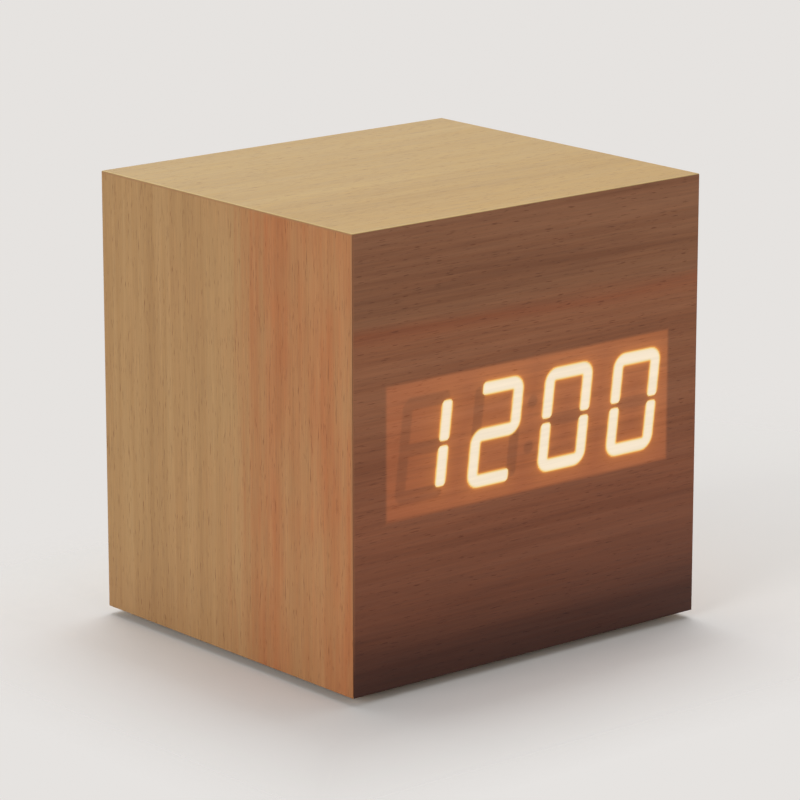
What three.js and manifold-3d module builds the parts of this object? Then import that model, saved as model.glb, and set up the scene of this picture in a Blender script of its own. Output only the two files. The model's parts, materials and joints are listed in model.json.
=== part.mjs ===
// Block-shaped digital alarm clock: a veneered case whose digits shine through its front.
// Millimetres, +Z up. The front faces -Y. The origin is the middle of the footprint, on the table.
import * as THREE from "three";
import { mergeVertices } from "three/addons/utils/BufferGeometryUtils.js";
import Module from "manifold-3d";

const wasm = await Module();
wasm.setup();

// Driving dimensions: fits
const CLEAR = 0.3; // round pieces that move, drop in or are screwed down
const GLUE = 0.1; // between faces that are bonded, soldered or clamped together
const MITRE_EASE = 0.1; // taken off each mitred edge, so the joint shows as a fine line

// Driving dimensions: case
const BOARD = 4; // veneered boards of the case
const BACK = 4; // removable back board
const SKIN = 0.8; // what is left of the front in the display window
const SIDE_ROOM = 0.65; // between the widest inner piece and each side board
const TOP_ROOM = 11.1; // above the display board
const STACK_GAP = 1.9; // between the battery tray and the display board
const BLOCK = 7; // corner blocks that take the back's screws
const BLOCK_DEPTH = 4.95;
const BLOCK_FLOOR = 0.95; // block left past the tip of its screw
const FOOT_HEIGHT = 1;
const FOOT_DIAMETER = 5;
const FOOT_CHAMFER = 0.3;
const FOOT_INSET_X = 7; // foot centre from the case's outer faces
const FOOT_INSET_Y = 5.35;

// Driving dimensions: display
const DIGITS = 4;
const DIGIT_PITCH = 12.4;
const DIGIT_SPAN_X = 6.8; // between the middles of the upright segments
const DIGIT_SPAN_Y = 12.4; // between the middles of the top and bottom segments
const SEGMENT = 1.8; // width of a segment, and diameter of a colon dot
const SEGMENT_GAP = 0.4; // web between the tips of two segments
const SLANT_DEGREES = 6.8;
const REFLECTOR_RIM = 1.85; // reflector above and below the digits
const FILM = 0.25;
const LED_LENGTH = 1.6;
const LED_WIDTH = 0.8;
const LED_HEIGHT = 0.7;
const PCB = 1.6;
const PCB_RIM = 1; // display board past the reflector, at each end
const SCREW_STRIP = 5.7; // display board past the window, above and below
const SCREW_EDGE = 2.4; // display screws from the edges of their board

// Driving dimensions: buttons and their switches
const BUTTON_PITCH = 11;
const BUTTON_DROP = 6; // button row below the main board's top edge
const BUTTON_DIAMETER = 5.8;
const BUTTON_TRAVEL = 0.6;
const BUTTON_SETBACK = 0.2; // button top below the back's outer face
const FINGER_MARGIN = 1.8; // shallow counterbore round each button
const FINGER_DEPTH = 1;
const CAP_FLANGE = 1;
const CAP_LIP = 1.1; // flange past the cap's stem
const CAP_CHAMFER = 0.4;
const SWITCH_SIDE = 6;
const SWITCH_HEIGHT = 3.4;
const PLUNGER_DIAMETER = 3.4;
const PLUNGER_ROOT = 0.4; // plunger inside the switch body at rest

// Driving dimensions: main board and what it carries
const MAIN_WIDTH = 38;
const MAIN_HEIGHT = 29;
const MAIN_SCREW_INSET = 3; // board screws from the main board's side edges
const MAIN_SCREW_DROP = 13.3; // these drops are from the main board's top edge
const SPACER_WALL = 1.4;
const JACK_X = 10;
const JACK_DROP = 22;
const JACK_BORE_DIAMETER = 6.4;
const JACK_WALL = 1.1;
const JACK_SHOULDER = 0.5; // square base past the round nose
const JACK_PIN_DIAMETER = 2;
const JACK_FLOOR = 1;
const JACK_SETBACK = 0.6; // jack nose below the back's outer face
const JACK_PIN_SETBACK = 1.4; // pin tip below the nose
const JACK_PIN_CHAMFER = 0.4;
const BUZZER_X = -10;
const BUZZER_DROP = 21.3;
const BUZZER_DIAMETER = 12;
const MIC_DROP = 15;
const MIC_DIAMETER = 6;
const SOUND_GAP = 0.8; // buzzer and microphone to the back board
const SOUND_CHAMFER = 0.4;
const SOUND_PORT_DEPTH = 2;
const SOUND_HOLE = 1.8;
const SOUND_RING = 3; // radius of the ring of sound holes
const SOUND_HOLES = 6;
const CHIP_DROP = 14;
const CHIP_WIDTH = 12;
const CHIP_HEIGHT = 8;
const CHIP_DEPTH = 1.8;
const CRYSTAL_X = -12;
const CRYSTAL_DROP = 6;
const CRYSTAL_DIAMETER = 2;
const CRYSTAL_LENGTH = 6;

// Driving dimensions: wiring
const WIRE_EDGE = 3; // solder joints from the boards' lower edges
const RIBBON = 0.8;
const RIBBON_WIDTH = 9;
const RIBBON_SAG = 2.6;
const LEAD_DIAMETER = 1.3;
const LEAD_RUN = 2.6; // straight out of each joint
const LEAD_X = 15; // where the battery leads reach the main board

// Driving dimensions: batteries, AAA cells side by side
const CELLS = 3;
const CELL_DIAMETER = 10.5;
const CELL_LENGTH = 44.5;
const CELL_NUB_DIAMETER = 3.8;
const CELL_NUB = 1;
const CELL_CRIMP = 0.6;
const CELL_GAP = 0.4;
const CONTACT = 0.4; // contact sheet
const CONTACT_SIDE = 8;
const TAG_WIDTH = 3;
const TAG_RISE = 2.2; // solder tags above the tray
const SPRING_LENGTH = 3.6;
const SPRING_TURNS = 3;
const SPRING_WIRE = 0.6;
const SPRING_BASE = 3.2; // coil radius at the sheet
const SPRING_TIP = 1.7; // coil radius at the cell
const TRAY_WALL = 1.1;
const FLANGE_LIP = 1;
const EAR_WIDTH = 9;
const EAR_REACH = 5; // screw ears past the tray's walls
const EAR_RIM = 0.7; // ear left outside the sunk head of its screw
const EAR_SEAT = 0.5; // ear under the head of its screw
const EAR_SINK = 0.2; // from the ear's face to the sunk head
const EAR_THREAD = 1.8; // tray screws into the bottom board
const DOOR = 1.6;
const BARREL_RADIUS = 1.5;
const HINGE_PIN_RADIUS = 0.7;
const HINGE_PIN = 1.3;
const TONGUE_WIDTH = 12;
const TONGUE_LENGTH = 8;
const TONGUE_SLIT = 0.8;
const GRIP_GROOVES = 3;
const GRIP_GROOVE = 0.8;
const GRIP_LENGTH = 8.8;
const GRIP_DEPTH = 0.5;

// Driving dimensions: screws
const BACK_SHANK = 2.2;
const BACK_HEAD = 4.6;
const BACK_HEAD_DEPTH = 1.4;
const SMALL_SHANK = 1.6;
const SMALL_HEAD = 3;
const SMALL_HEAD_DEPTH = 1.1;
const THREAD_REACH = 2.2; // small screws into wood
const CROSS_WIDTH = 0.6; // drive recess
const CROSS_DEPTH = 0.7;
const CROSS_RIM = 0.6; // head left round the recess

// Facets of round pieces
const FINE = 28;
const MEDIUM = 16;
const COARSE = 10;
const WIRE_SIDES = 6;
const SPRING_SIDES = 5;
const SPRING_STEPS = 8; // each turn
const WIRE_STEPS = 16;

// Derived sizes: battery bay, from the cells outwards, measured from the case's underside
const earFloor = EAR_SINK + SMALL_HEAD_DEPTH + GLUE;
const flange = earFloor + EAR_SEAT;
const cellPitch = CELL_DIAMETER + CELL_GAP;
const bayLength = CELL_LENGTH + SPRING_LENGTH + 2 * (CONTACT + GLUE + CLEAR);
const bayWidth = CELLS * cellPitch + CELL_GAP;
const trayLength = bayLength + 2 * TRAY_WALL;
const trayWidth = bayWidth + 2 * TRAY_WALL;
const cellZ = 2 * BARREL_RADIUS + CLEAR + CELL_DIAMETER / 2;
const roofZ = cellZ + CELL_DIAMETER / 2 + CLEAR;
const trayHeight = roofZ + TRAY_WALL;
const earScrewY = trayWidth / 2 + EAR_REACH - EAR_RIM - SMALL_HEAD / 2 - CLEAR;
const contactX = bayLength / 2 - GLUE - CONTACT / 2;
const tagTop = trayHeight + TAG_RISE;
const hingeX = CLEAR + BARREL_RADIUS - bayLength / 2;
const doorEnd = bayLength / 2 - CLEAR;
const doorHalf = bayWidth / 2 - CLEAR;

// Derived sizes: display
const reflectorWidth = DIGITS * DIGIT_PITCH;
const reflectorHeight = DIGIT_SPAN_Y + SEGMENT + 2 * REFLECTOR_RIM;
const windowWidth = reflectorWidth + 2 * CLEAR;
const windowHeight = reflectorHeight + 2 * CLEAR;
const displayBoardWidth = reflectorWidth + 2 * PCB_RIM;
const displayBoardHeight = windowHeight + 2 * SCREW_STRIP;

// Derived sizes: case, as wide, deep and high as what it holds
const innerWidth = Math.max(trayLength, displayBoardWidth) + 2 * SIDE_ROOM;
const innerDepth = trayWidth + 2 * (BLOCK_DEPTH + GLUE + CLEAR);
const width = innerWidth + 2 * BOARD;
const depth = innerDepth + BOARD + BACK;
const displayY = trayHeight + STACK_GAP + displayBoardHeight / 2;
const height = displayY + displayBoardHeight / 2 + TOP_ROOM + BOARD;

// Derived sizes: main board, as far from the back as the switches and caps need
const plungerRise = BUTTON_TRAVEL + GLUE;
const spacerLength = CLEAR + CAP_FLANGE + CLEAR + plungerRise + SWITCH_HEIGHT;
const mainTop = height - BOARD - GLUE - BLOCK - 2 * CLEAR;
const mainY = mainTop - MAIN_HEIGHT / 2;
const buttonY = mainTop - BUTTON_DROP;
const jackY = mainTop - JACK_DROP;
const jackNose = JACK_BORE_DIAMETER / 2 + JACK_WALL;
const jackTop = spacerLength + BACK - JACK_SETBACK;
const buzzerY = mainTop - BUZZER_DROP;
const micY = mainTop - MIC_DROP;
const mainScrewX = MAIN_WIDTH / 2 - MAIN_SCREW_INSET;
const mainScrewY = mainTop - MAIN_SCREW_DROP;
const smallBore = SMALL_SHANK / 2 + CLEAR;
const backScrewX = innerWidth / 2 - GLUE - BLOCK / 2;
const backScrewYs = [BOARD + GLUE + BLOCK / 2, height - BOARD - GLUE - BLOCK / 2];
const displayBoardRear = BOARD + GLUE + PCB - depth / 2;
const mainBoardFront = depth / 2 - BACK - spacerLength - PCB;

const finish = (color, roughness, metalness = 0) =>
  new THREE.MeshStandardMaterial({ color, roughness, metalness });
const finishes = {
  frontVeneer: finish(0x8a5a41, 0.55),
  paleVeneer: finish(0xc9ae82, 0.55),
  sideVeneer: finish(0xab7f58, 0.55),
  fibreboard: finish(0x9a7b5a, 0.85),
  blackPlastic: finish(0x17171a, 0.55),
  whitePlastic: finish(0xeeece6, 0.5),
  film: finish(0xf4f1ea, 0.4),
  circuit: finish(0x1f5a36, 0.45),
  chip: finish(0x202124, 0.6),
  steel: finish(0xb9bbbd, 0.35, 1),
  nickel: finish(0xc8c4b8, 0.3, 1),
  button: finish(0x3a3a3d, 0.45),
  rubber: finish(0x1d1d1d, 0.9),
  cell: finish(0x3c4148, 0.35, 0.3),
  ribbon: finish(0x8d9095, 0.6),
  redLead: finish(0xa8201c, 0.5),
  blackLead: finish(0x1b1b1d, 0.5),
};

// A closed geometry as a solid, with doubled vertices merged and collapsed triangles dropped.
function solidOf(geometry) {
  const source = geometry.index ? geometry.toNonIndexed() : geometry;
  const bare = new THREE.BufferGeometry();
  bare.setAttribute("position", source.getAttribute("position"));
  const merged = mergeVertices(bare, 1e-4);
  const corners = [];
  for (let i = 0; i < merged.index.count; i += 3) {
    const [a, b, c] = merged.index.array.slice(i, i + 3);
    if (a !== b && b !== c && c !== a) corners.push(a, b, c);
  }
  const vertProperties = merged.attributes.position.array;
  const triVerts = new Uint32Array(corners);
  return new wasm.Manifold(new wasm.Mesh({ numProp: 3, vertProperties, triVerts }));
}

function geometryOf(solid) {
  const { vertProperties, triVerts } = solid.getMesh();
  const geometry = new THREE.BufferGeometry();
  geometry.setAttribute("position", new THREE.BufferAttribute(vertProperties, 3));
  geometry.setIndex(new THREE.BufferAttribute(triVerts, 1));
  geometry.computeVertexNormals();
  return geometry;
}

const join = (first, ...others) =>
  geometryOf(others.reduce((all, other) => all.add(solidOf(other)), solidOf(first)));
const cut = (first, ...tools) =>
  geometryOf(tools.reduce((left, tool) => left.subtract(solidOf(tool)), solidOf(first)));
const counted = (count) => [...Array(Math.round(count)).keys()];

// A box from its low to its high corner.
function box(x0, x1, y0, y1, z0, z1) {
  const geometry = new THREE.BoxGeometry(x1 - x0, y1 - y0, z1 - z0);
  return geometry.translate((x0 + x1) / 2, (y0 + y1) / 2, (z0 + z1) / 2);
}

// A box round the upright line through x, y, from z0 to z1.
const pad = (x, y, sizeX, sizeY, z0, z1) =>
  box(x - sizeX / 2, x + sizeX / 2, y - sizeY / 2, y + sizeY / 2, z0, z1);

// A round bar along Z.
function rod(x, y, radius, z0, z1, sides = MEDIUM) {
  const geometry = new THREE.CylinderGeometry(radius, radius, z1 - z0, sides);
  return geometry.rotateX(Math.PI / 2).translate(x, y, (z0 + z1) / 2);
}

// The radius whose flats stay outside the given one.
const outside = (radius, sides) => radius / Math.cos(Math.PI / sides);

// A round cutter that leaves at least the given radius open.
const bore = (x, y, radius, z0, z1, sides = MEDIUM) =>
  rod(x, y, outside(radius, sides), z0, z1, sides);

// A solid of revolution about Z from [radius, z] pairs that start and end on the axis, going up.
function turned(profile, sides = MEDIUM) {
  const points = profile.map(([radius, z]) => new THREE.Vector2(radius, z));
  return new THREE.LatheGeometry(points, sides).rotateX(Math.PI / 2);
}

// An outline in XY as a prism from z0 to z1.
function prism(corners, z0, z1) {
  const shape = new THREE.Shape(corners.map(([x, y]) => new THREE.Vector2(x, y)));
  const geometry = new THREE.ExtrudeGeometry(shape, { depth: z1 - z0, bevelEnabled: false });
  return geometry.translate(0, 0, z0);
}

// Corners of a regular polygon round a point.
const polygon = (x, y, radius, sides) =>
  counted(sides).map((i) => {
    const angle = (i / sides) * 2 * Math.PI;
    return [x + radius * Math.cos(angle), y + radius * Math.sin(angle)];
  });

// A round wire along a curve through the places, with closed ends.
function wire(places, radius, sides, steps) {
  const round = polygon(0, 0, radius, sides).map(([x, y]) => new THREE.Vector2(x, y));
  const extrudePath = new THREE.CatmullRomCurve3(places);
  return new THREE.ExtrudeGeometry(new THREE.Shape(round), { steps, extrudePath });
}

// A six-sided slab: outer face at z = 0 facing +Z, inner face below it.
function slab(outer, inner, thickness) {
  const ring = ({ x0, x1, y0, y1 }, z) => [x0, y0, z, x1, y0, z, x1, y1, z, x0, y1, z];
  const geometry = new THREE.BufferGeometry();
  const places = [...ring(outer, 0), ...ring(inner, -thickness)];
  geometry.setAttribute("position", new THREE.Float32BufferAttribute(places, 3));
  const quads = [[0, 1, 2, 3], [4, 7, 6, 5]];
  for (const i of counted(4)) quads.push([4 + i, 4 + ((i + 1) % 4), (i + 1) % 4, i]);
  geometry.setIndex(quads.flatMap(([a, b, c, d]) => [a, b, c, a, c, d]));
  return geometry;
}

// A case board whose mitred edges are named by side: "x0", "x1", "y0", "y1".
function caseBoard(x0, x1, y0, y1, mitred) {
  const edges = { x0, x1, y0, y1 };
  const inwards = { x0: 1, x1: -1, y0: 1, y1: -1 };
  const pulledIn = (amount) => {
    const moved = { ...edges };
    for (const side of mitred) moved[side] += inwards[side] * amount;
    return moved;
  };
  return slab(pulledIn(MITRE_EASE), pulledIn(MITRE_EASE + BOARD), BOARD);
}

// Cross recess for a driver, in a screw head whose top is at z.
function crossRecess(head, z) {
  const arm = head / 2 - CROSS_RIM;
  const half = CROSS_WIDTH / 2;
  const floor = z - CROSS_DEPTH;
  const mouth = z + CLEAR;
  return [box(-arm, arm, -half, half, floor, mouth), box(-half, half, -arm, arm, floor, mouth)];
}

// The pointed shank of a screw, as the first part of a profile that goes up.
const screwPoint = (shank, length) => [
  [0, -length],
  [shank / 4, -length],
  [shank / 2, shank / 4 - length],
];

// Countersunk screw for the back, head flush at z = 0, point towards -Z.
function backScrew() {
  const profile = [
    ...screwPoint(BACK_SHANK, BACK + BLOCK_DEPTH - BLOCK_FLOOR),
    [BACK_SHANK / 2, -BACK_HEAD_DEPTH],
    [BACK_HEAD / 2, 0],
    [0, 0],
  ];
  return cut(turned(profile, COARSE), ...crossRecess(BACK_HEAD, 0));
}

// Clearance hole and countersink for a back screw, with its mouth at z = 0.
function backScrewHole() {
  const neck = outside(BACK_SHANK / 2 + CLEAR, COARSE);
  const mouth = outside(BACK_HEAD / 2 + CLEAR, COARSE);
  const profile = [
    [0, -BACK - CLEAR],
    [neck, -BACK - CLEAR],
    [neck, -BACK_HEAD_DEPTH - GLUE],
    [mouth, 0],
    [mouth, CLEAR],
    [0, CLEAR],
  ];
  return turned(profile, COARSE);
}

// Small pan head screw, seat of the head at z = 0, point towards -Z.
function panScrew(length) {
  const crown = SMALL_HEAD_DEPTH / 2;
  const profile = [
    ...screwPoint(SMALL_SHANK, length),
    [SMALL_SHANK / 2, 0],
    [SMALL_HEAD / 2, 0],
    [SMALL_HEAD / 2, SMALL_HEAD_DEPTH - crown],
    [SMALL_HEAD / 2 - crown, SMALL_HEAD_DEPTH],
    [0, SMALL_HEAD_DEPTH],
  ];
  return cut(turned(profile, COARSE), ...crossRecess(SMALL_HEAD, SMALL_HEAD_DEPTH));
}

// Outline of one segment as a six-cornered bar, along X or along Y.
function segmentOutline(length, upright) {
  const half = length / 2;
  const wide = SEGMENT / 2;
  const shoulder = half - wide;
  const corners = [
    [-half, 0],
    [-shoulder, -wide],
    [shoulder, -wide],
    [half, 0],
    [shoulder, wide],
    [-shoulder, wide],
  ];
  return upright ? corners.map(([x, y]) => [-y, x]) : corners;
}

// Middle and direction of the seven segments of a digit, from the digit's middle.
function segmentPlaces() {
  const side = DIGIT_SPAN_X / 2;
  const storey = DIGIT_SPAN_Y / 2;
  const level = [storey, 0, -storey].map((y) => ({ x: 0, y, upright: false }));
  const sides = [-side, side].flatMap((x) =>
    [storey / 2, -storey / 2].map((y) => ({ x, y, upright: true })),
  );
  return [...level, ...sides];
}

// Every lit shape of the display, slanted, in the window's frame: its corners, middle and LED size.
function displayLights() {
  const lean = Math.tan(THREE.MathUtils.degToRad(SLANT_DEGREES));
  const slanted = ([x, y]) => [x + y * lean, y];
  const lights = [];
  for (const digit of counted(DIGITS)) {
    const digitX = (digit - (DIGITS - 1) / 2) * DIGIT_PITCH;
    for (const { x, y, upright } of segmentPlaces()) {
      const length = (upright ? DIGIT_SPAN_Y / 2 : DIGIT_SPAN_X) - SEGMENT_GAP;
      const outline = segmentOutline(length, upright);
      lights.push({
        corners: outline.map(([u, v]) => slanted([digitX + x + u, y + v])),
        middle: slanted([digitX + x, y]),
        led: upright ? [LED_WIDTH, LED_LENGTH] : [LED_LENGTH, LED_WIDTH],
      });
    }
  }
  for (const y of [-DIGIT_SPAN_Y / 4, DIGIT_SPAN_Y / 4]) {
    const middle = slanted([0, y]);
    const corners = polygon(...middle, SEGMENT / 2, COARSE);
    lights.push({ corners, middle, led: [LED_WIDTH, LED_WIDTH] });
  }
  return lights;
}

// Places of the screws that hold the display board, from the window's middle.
const displayScrewPlaces = [-1, 1].flatMap((row) =>
  [-1, 1].map((side) => [
    side * (displayBoardWidth / 2 - SCREW_EDGE),
    row * (displayBoardHeight / 2 - SCREW_EDGE),
  ]),
);

// Buttons from the left as seen from behind, where the power jack is on the right.
const buttons = ["set", "down", "up"].map((name, i) => ({ name, x: (i - 1) * BUTTON_PITCH }));

function frontPanel() {
  const whole = caseBoard(-width / 2, width / 2, 0, height, ["x0", "x1", "y0", "y1"]);
  const pocket = pad(0, displayY, windowWidth, windowHeight, -BOARD - CLEAR, -SKIN);
  const pilotEnd = THREAD_REACH + CLEAR - BOARD;
  const pilots = displayScrewPlaces.map(([x, y]) =>
    bore(x, displayY + y, smallBore, -BOARD - CLEAR, pilotEnd, COARSE),
  );
  return cut(whole, pocket, ...pilots);
}

function bottomBoard() {
  const whole = caseBoard(-width / 2, width / 2, -depth / 2, depth / 2, ["x0", "x1", "y0"]);
  const rebate = -flange - GLUE;
  const lip = 2 * (FLANGE_LIP + CLEAR);
  const bay = pad(0, 0, trayLength + 2 * CLEAR, trayWidth + 2 * CLEAR, -BOARD - CLEAR, CLEAR);
  const seat = pad(0, 0, trayLength + lip, trayWidth + lip, rebate, CLEAR);
  const ears = pad(0, 0, EAR_WIDTH + 2 * CLEAR, trayWidth + 2 * (EAR_REACH + CLEAR), rebate, CLEAR);
  const pilots = [-earScrewY, earScrewY].map((y) =>
    bore(0, y, smallBore, -BOARD - CLEAR, 0, COARSE),
  );
  return cut(whole, bay, seat, ears, ...pilots);
}

function backBoard() {
  const half = innerWidth / 2 - CLEAR;
  const whole = box(-half, half, BOARD + CLEAR, height - BOARD - CLEAR, -BACK, 0);
  const through = (x, y, radius, sides) => bore(x, y, radius, -BACK - CLEAR, CLEAR, sides);
  const tools = [
    through(JACK_X, jackY, jackNose + CLEAR, FINE),
    through(0, micY, SOUND_HOLE / 2, COARSE),
    through(BUZZER_X, buzzerY, SOUND_HOLE / 2, COARSE),
  ];
  for (const [x, y] of polygon(BUZZER_X, buzzerY, SOUND_RING, SOUND_HOLES)) {
    tools.push(through(x, y, SOUND_HOLE / 2, COARSE));
  }
  for (const { x } of buttons) {
    tools.push(through(x, buttonY, BUTTON_DIAMETER / 2 + CLEAR, FINE));
    tools.push(bore(x, buttonY, BUTTON_DIAMETER / 2 + FINGER_MARGIN, -FINGER_DEPTH, CLEAR, FINE));
  }
  const pilotEnd = THREAD_REACH + CLEAR - BACK;
  for (const side of [-1, 1]) {
    tools.push(bore(side * mainScrewX, mainScrewY, smallBore, -BACK - CLEAR, pilotEnd, COARSE));
    for (const y of backScrewYs) tools.push(backScrewHole().translate(side * backScrewX, y, 0));
  }
  return cut(whole, ...tools);
}

// Corner block with its rear face at z = 0.
function cornerBlock() {
  const whole = pad(0, 0, BLOCK, BLOCK, -BLOCK_DEPTH, 0);
  const pilotEnd = BLOCK_FLOOR - BLOCK_DEPTH - CLEAR;
  return cut(whole, bore(0, 0, BACK_SHANK / 2 + CLEAR, pilotEnd, CLEAR, COARSE));
}

function foot() {
  const radius = FOOT_DIAMETER / 2;
  const top = FOOT_HEIGHT - GLUE;
  return turned([[0, 0], [radius - FOOT_CHAMFER, 0], [radius, FOOT_CHAMFER], [radius, top], [0, top]]);
}

// Display board with its LEDs, its front face at z = 0.
function displayBoard() {
  const plate = pad(0, 0, displayBoardWidth, displayBoardHeight, -PCB, 0);
  const leds = displayLights().map(({ middle, led }) => pad(...middle, ...led, -PCB / 2, LED_HEIGHT));
  const holes = displayScrewPlaces.map(([x, y]) =>
    bore(x, y, smallBore, -PCB - CLEAR, CLEAR, COARSE),
  );
  return cut(join(plate, ...leds), ...holes);
}

// Block with a well for each light, standing on z = 0.
function segmentReflector(rise) {
  const whole = pad(0, 0, reflectorWidth, reflectorHeight, 0, rise);
  return cut(whole, ...displayLights().map(({ corners }) => prism(corners, -CLEAR, rise + CLEAR)));
}

// Button cap, the inner face of its flange at z = 0 and its crown towards +Z.
function buttonCap() {
  const stem = BUTTON_DIAMETER / 2;
  const crown = CAP_FLANGE + CLEAR + BACK - BUTTON_SETBACK;
  const profile = [
    [0, 0],
    [stem + CAP_LIP, 0],
    [stem + CAP_LIP, CAP_FLANGE],
    [stem, CAP_FLANGE],
    [stem, crown - CAP_CHAMFER],
    [stem - CAP_CHAMFER, crown],
    [0, crown],
  ];
  return turned(profile, FINE);
}

// Switch body standing on z = 0, with the well that its plunger sinks into.
function switchBody() {
  const whole = pad(0, 0, SWITCH_SIDE, SWITCH_SIDE, 0, SWITCH_HEIGHT);
  const floor = SWITCH_HEIGHT - PLUNGER_ROOT - BUTTON_TRAVEL - CLEAR;
  return cut(whole, bore(0, 0, PLUNGER_DIAMETER / 2 + CLEAR, floor, SWITCH_HEIGHT + CLEAR));
}

// Plunger at rest, with the top of its switch body at z = 0.
const switchPlunger = () => rod(0, 0, PLUNGER_DIAMETER / 2, -PLUNGER_ROOT, plungerRise);

// Main board, its rear face at z = 0.
function mainBoard() {
  const plate = pad(0, mainY, MAIN_WIDTH, MAIN_HEIGHT, -PCB, 0);
  const holes = [-mainScrewX, mainScrewX].map((x) =>
    bore(x, mainScrewY, smallBore, -PCB - CLEAR, CLEAR, COARSE),
  );
  return cut(plate, ...holes);
}

// Barrel jack standing on z = 0: a square base and a round nose through the back.
function powerJack() {
  const baseTop = spacerLength - CLEAR;
  const side = 2 * (jackNose + JACK_SHOULDER);
  const base = pad(0, 0, side, side, 0, baseTop);
  const nose = rod(0, 0, jackNose, baseTop / 2, jackTop, FINE);
  const mouth = bore(0, 0, JACK_BORE_DIAMETER / 2, JACK_FLOOR, jackTop + CLEAR, FINE);
  return cut(join(base, nose), mouth);
}

// Centre pin of the jack, on its floor, with a chamfered tip.
function jackPin() {
  const radius = JACK_PIN_DIAMETER / 2;
  const foot = JACK_FLOOR + GLUE;
  const tip = jackTop - JACK_PIN_SETBACK;
  const profile = [
    [0, foot],
    [radius, foot],
    [radius, tip - JACK_PIN_CHAMFER],
    [radius - JACK_PIN_CHAMFER, tip],
    [0, tip],
  ];
  return turned(profile);
}

// A round can standing on z = 0, with a sound port in its end.
function soundCan(diameter) {
  const radius = diameter / 2;
  const top = spacerLength - SOUND_GAP;
  const profile = [
    [0, 0],
    [radius, 0],
    [radius, top - SOUND_CHAMFER],
    [radius - SOUND_CHAMFER, top],
    [0, top],
  ];
  const port = bore(0, 0, SOUND_HOLE / 2, top - SOUND_PORT_DEPTH, top + CLEAR, COARSE);
  return cut(turned(profile), port);
}

// Tube between the main board and the back board.
function boardSpacer() {
  const tube = rod(0, 0, smallBore + SPACER_WALL, GLUE, spacerLength - GLUE, COARSE);
  return cut(tube, bore(0, 0, smallBore, 0, spacerLength, COARSE));
}

// Flat ribbon between the two boards: a strip along a hanging curve, drawn as depth and height.
function displayRibbon() {
  const startHeight = displayY - displayBoardHeight / 2 + WIRE_EDGE;
  const endHeight = mainY - MAIN_HEIGHT / 2 + WIRE_EDGE;
  const start = new THREE.Vector2(displayBoardRear + CLEAR, startHeight);
  const end = new THREE.Vector2(mainBoardFront - CLEAR, endHeight);
  const low = Math.min(start.y, end.y) - RIBBON_SAG;
  const third = (end.x - start.x) / 3;
  const curve = new THREE.CubicBezierCurve(
    start,
    new THREE.Vector2(start.x + third, low),
    new THREE.Vector2(end.x - third, low),
    end,
  );
  const edge = (side) =>
    counted(WIRE_STEPS + 1).map((i) => {
      const place = curve.getPoint(i / WIRE_STEPS);
      const along = curve.getTangent(i / WIRE_STEPS);
      const offset = (side * RIBBON) / 2;
      return [place.x - along.y * offset, place.y + along.x * offset];
    });
  const outline = [...edge(-1), ...edge(1).reverse()];
  return prism(outline, -RIBBON_WIDTH / 2, RIBBON_WIDTH / 2);
}

// Battery lead from a solder tag at one end of the tray to the main board.
function batteryLead(end, tagY) {
  const startX = contactX - CONTACT / 2 - CLEAR;
  const startZ = tagTop - LEAD_DIAMETER / 2;
  const joint = { y: mainBoardFront - CLEAR, z: mainY - MAIN_HEIGHT / 2 + WIRE_EDGE };
  const places = [
    [startX, tagY, startZ],
    [startX - LEAD_RUN, tagY, startZ],
    [(startX + LEAD_X) / 2, (tagY + joint.y) / 2, (startZ + joint.z) / 2],
    [LEAD_X, joint.y - LEAD_RUN, joint.z],
    [LEAD_X, joint.y, joint.z],
  ].map(([x, y, z]) => new THREE.Vector3(end * x, y, z));
  return wire(places, LEAD_DIAMETER / 2, WIRE_SIDES, WIRE_STEPS);
}

// The cells lie head to tail: which end of the tray a cell's positive pole is at, and its place.
const plusEnd = (cell) => (cell % 2 ? -1 : 1);
const cellY = (cell) => (cell - (CELLS - 1) / 2) * cellPitch;
const lastCell = CELLS - 1;
const tags = [
  { end: plusEnd(0), y: cellY(0) },
  { end: -plusEnd(lastCell), y: cellY(lastCell) },
];

function batteryTray() {
  const lip = 2 * FLANGE_LIP;
  const shell = pad(0, 0, trayLength, trayWidth, 0, trayHeight);
  const rim = pad(0, 0, trayLength + lip, trayWidth + lip, 0, flange);
  const ears = pad(0, 0, EAR_WIDTH, trayWidth + 2 * EAR_REACH, 0, flange);
  const pinReach = doorHalf + HINGE_PIN + CLEAR;
  const pinHoles = bore(0, 0, HINGE_PIN_RADIUS + CLEAR, -pinReach, pinReach, COARSE);
  const tools = [
    pad(0, 0, bayLength, bayWidth, -CLEAR, roofZ),
    pinHoles.rotateX(Math.PI / 2).translate(hingeX, 0, BARREL_RADIUS),
  ];
  for (const y of [-earScrewY, earScrewY]) {
    tools.push(bore(0, y, smallBore, -CLEAR, flange + CLEAR, COARSE));
    tools.push(bore(0, y, SMALL_HEAD / 2 + CLEAR, -CLEAR, earFloor, COARSE));
  }
  for (const { end, y } of tags) {
    const slotX = CONTACT + 2 * CLEAR;
    const slotY = TAG_WIDTH + 2 * CLEAR;
    tools.push(pad(end * contactX, y, slotX, slotY, cellZ, trayHeight + CLEAR));
  }
  return cut(join(shell, rim, ears), ...tools);
}

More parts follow.
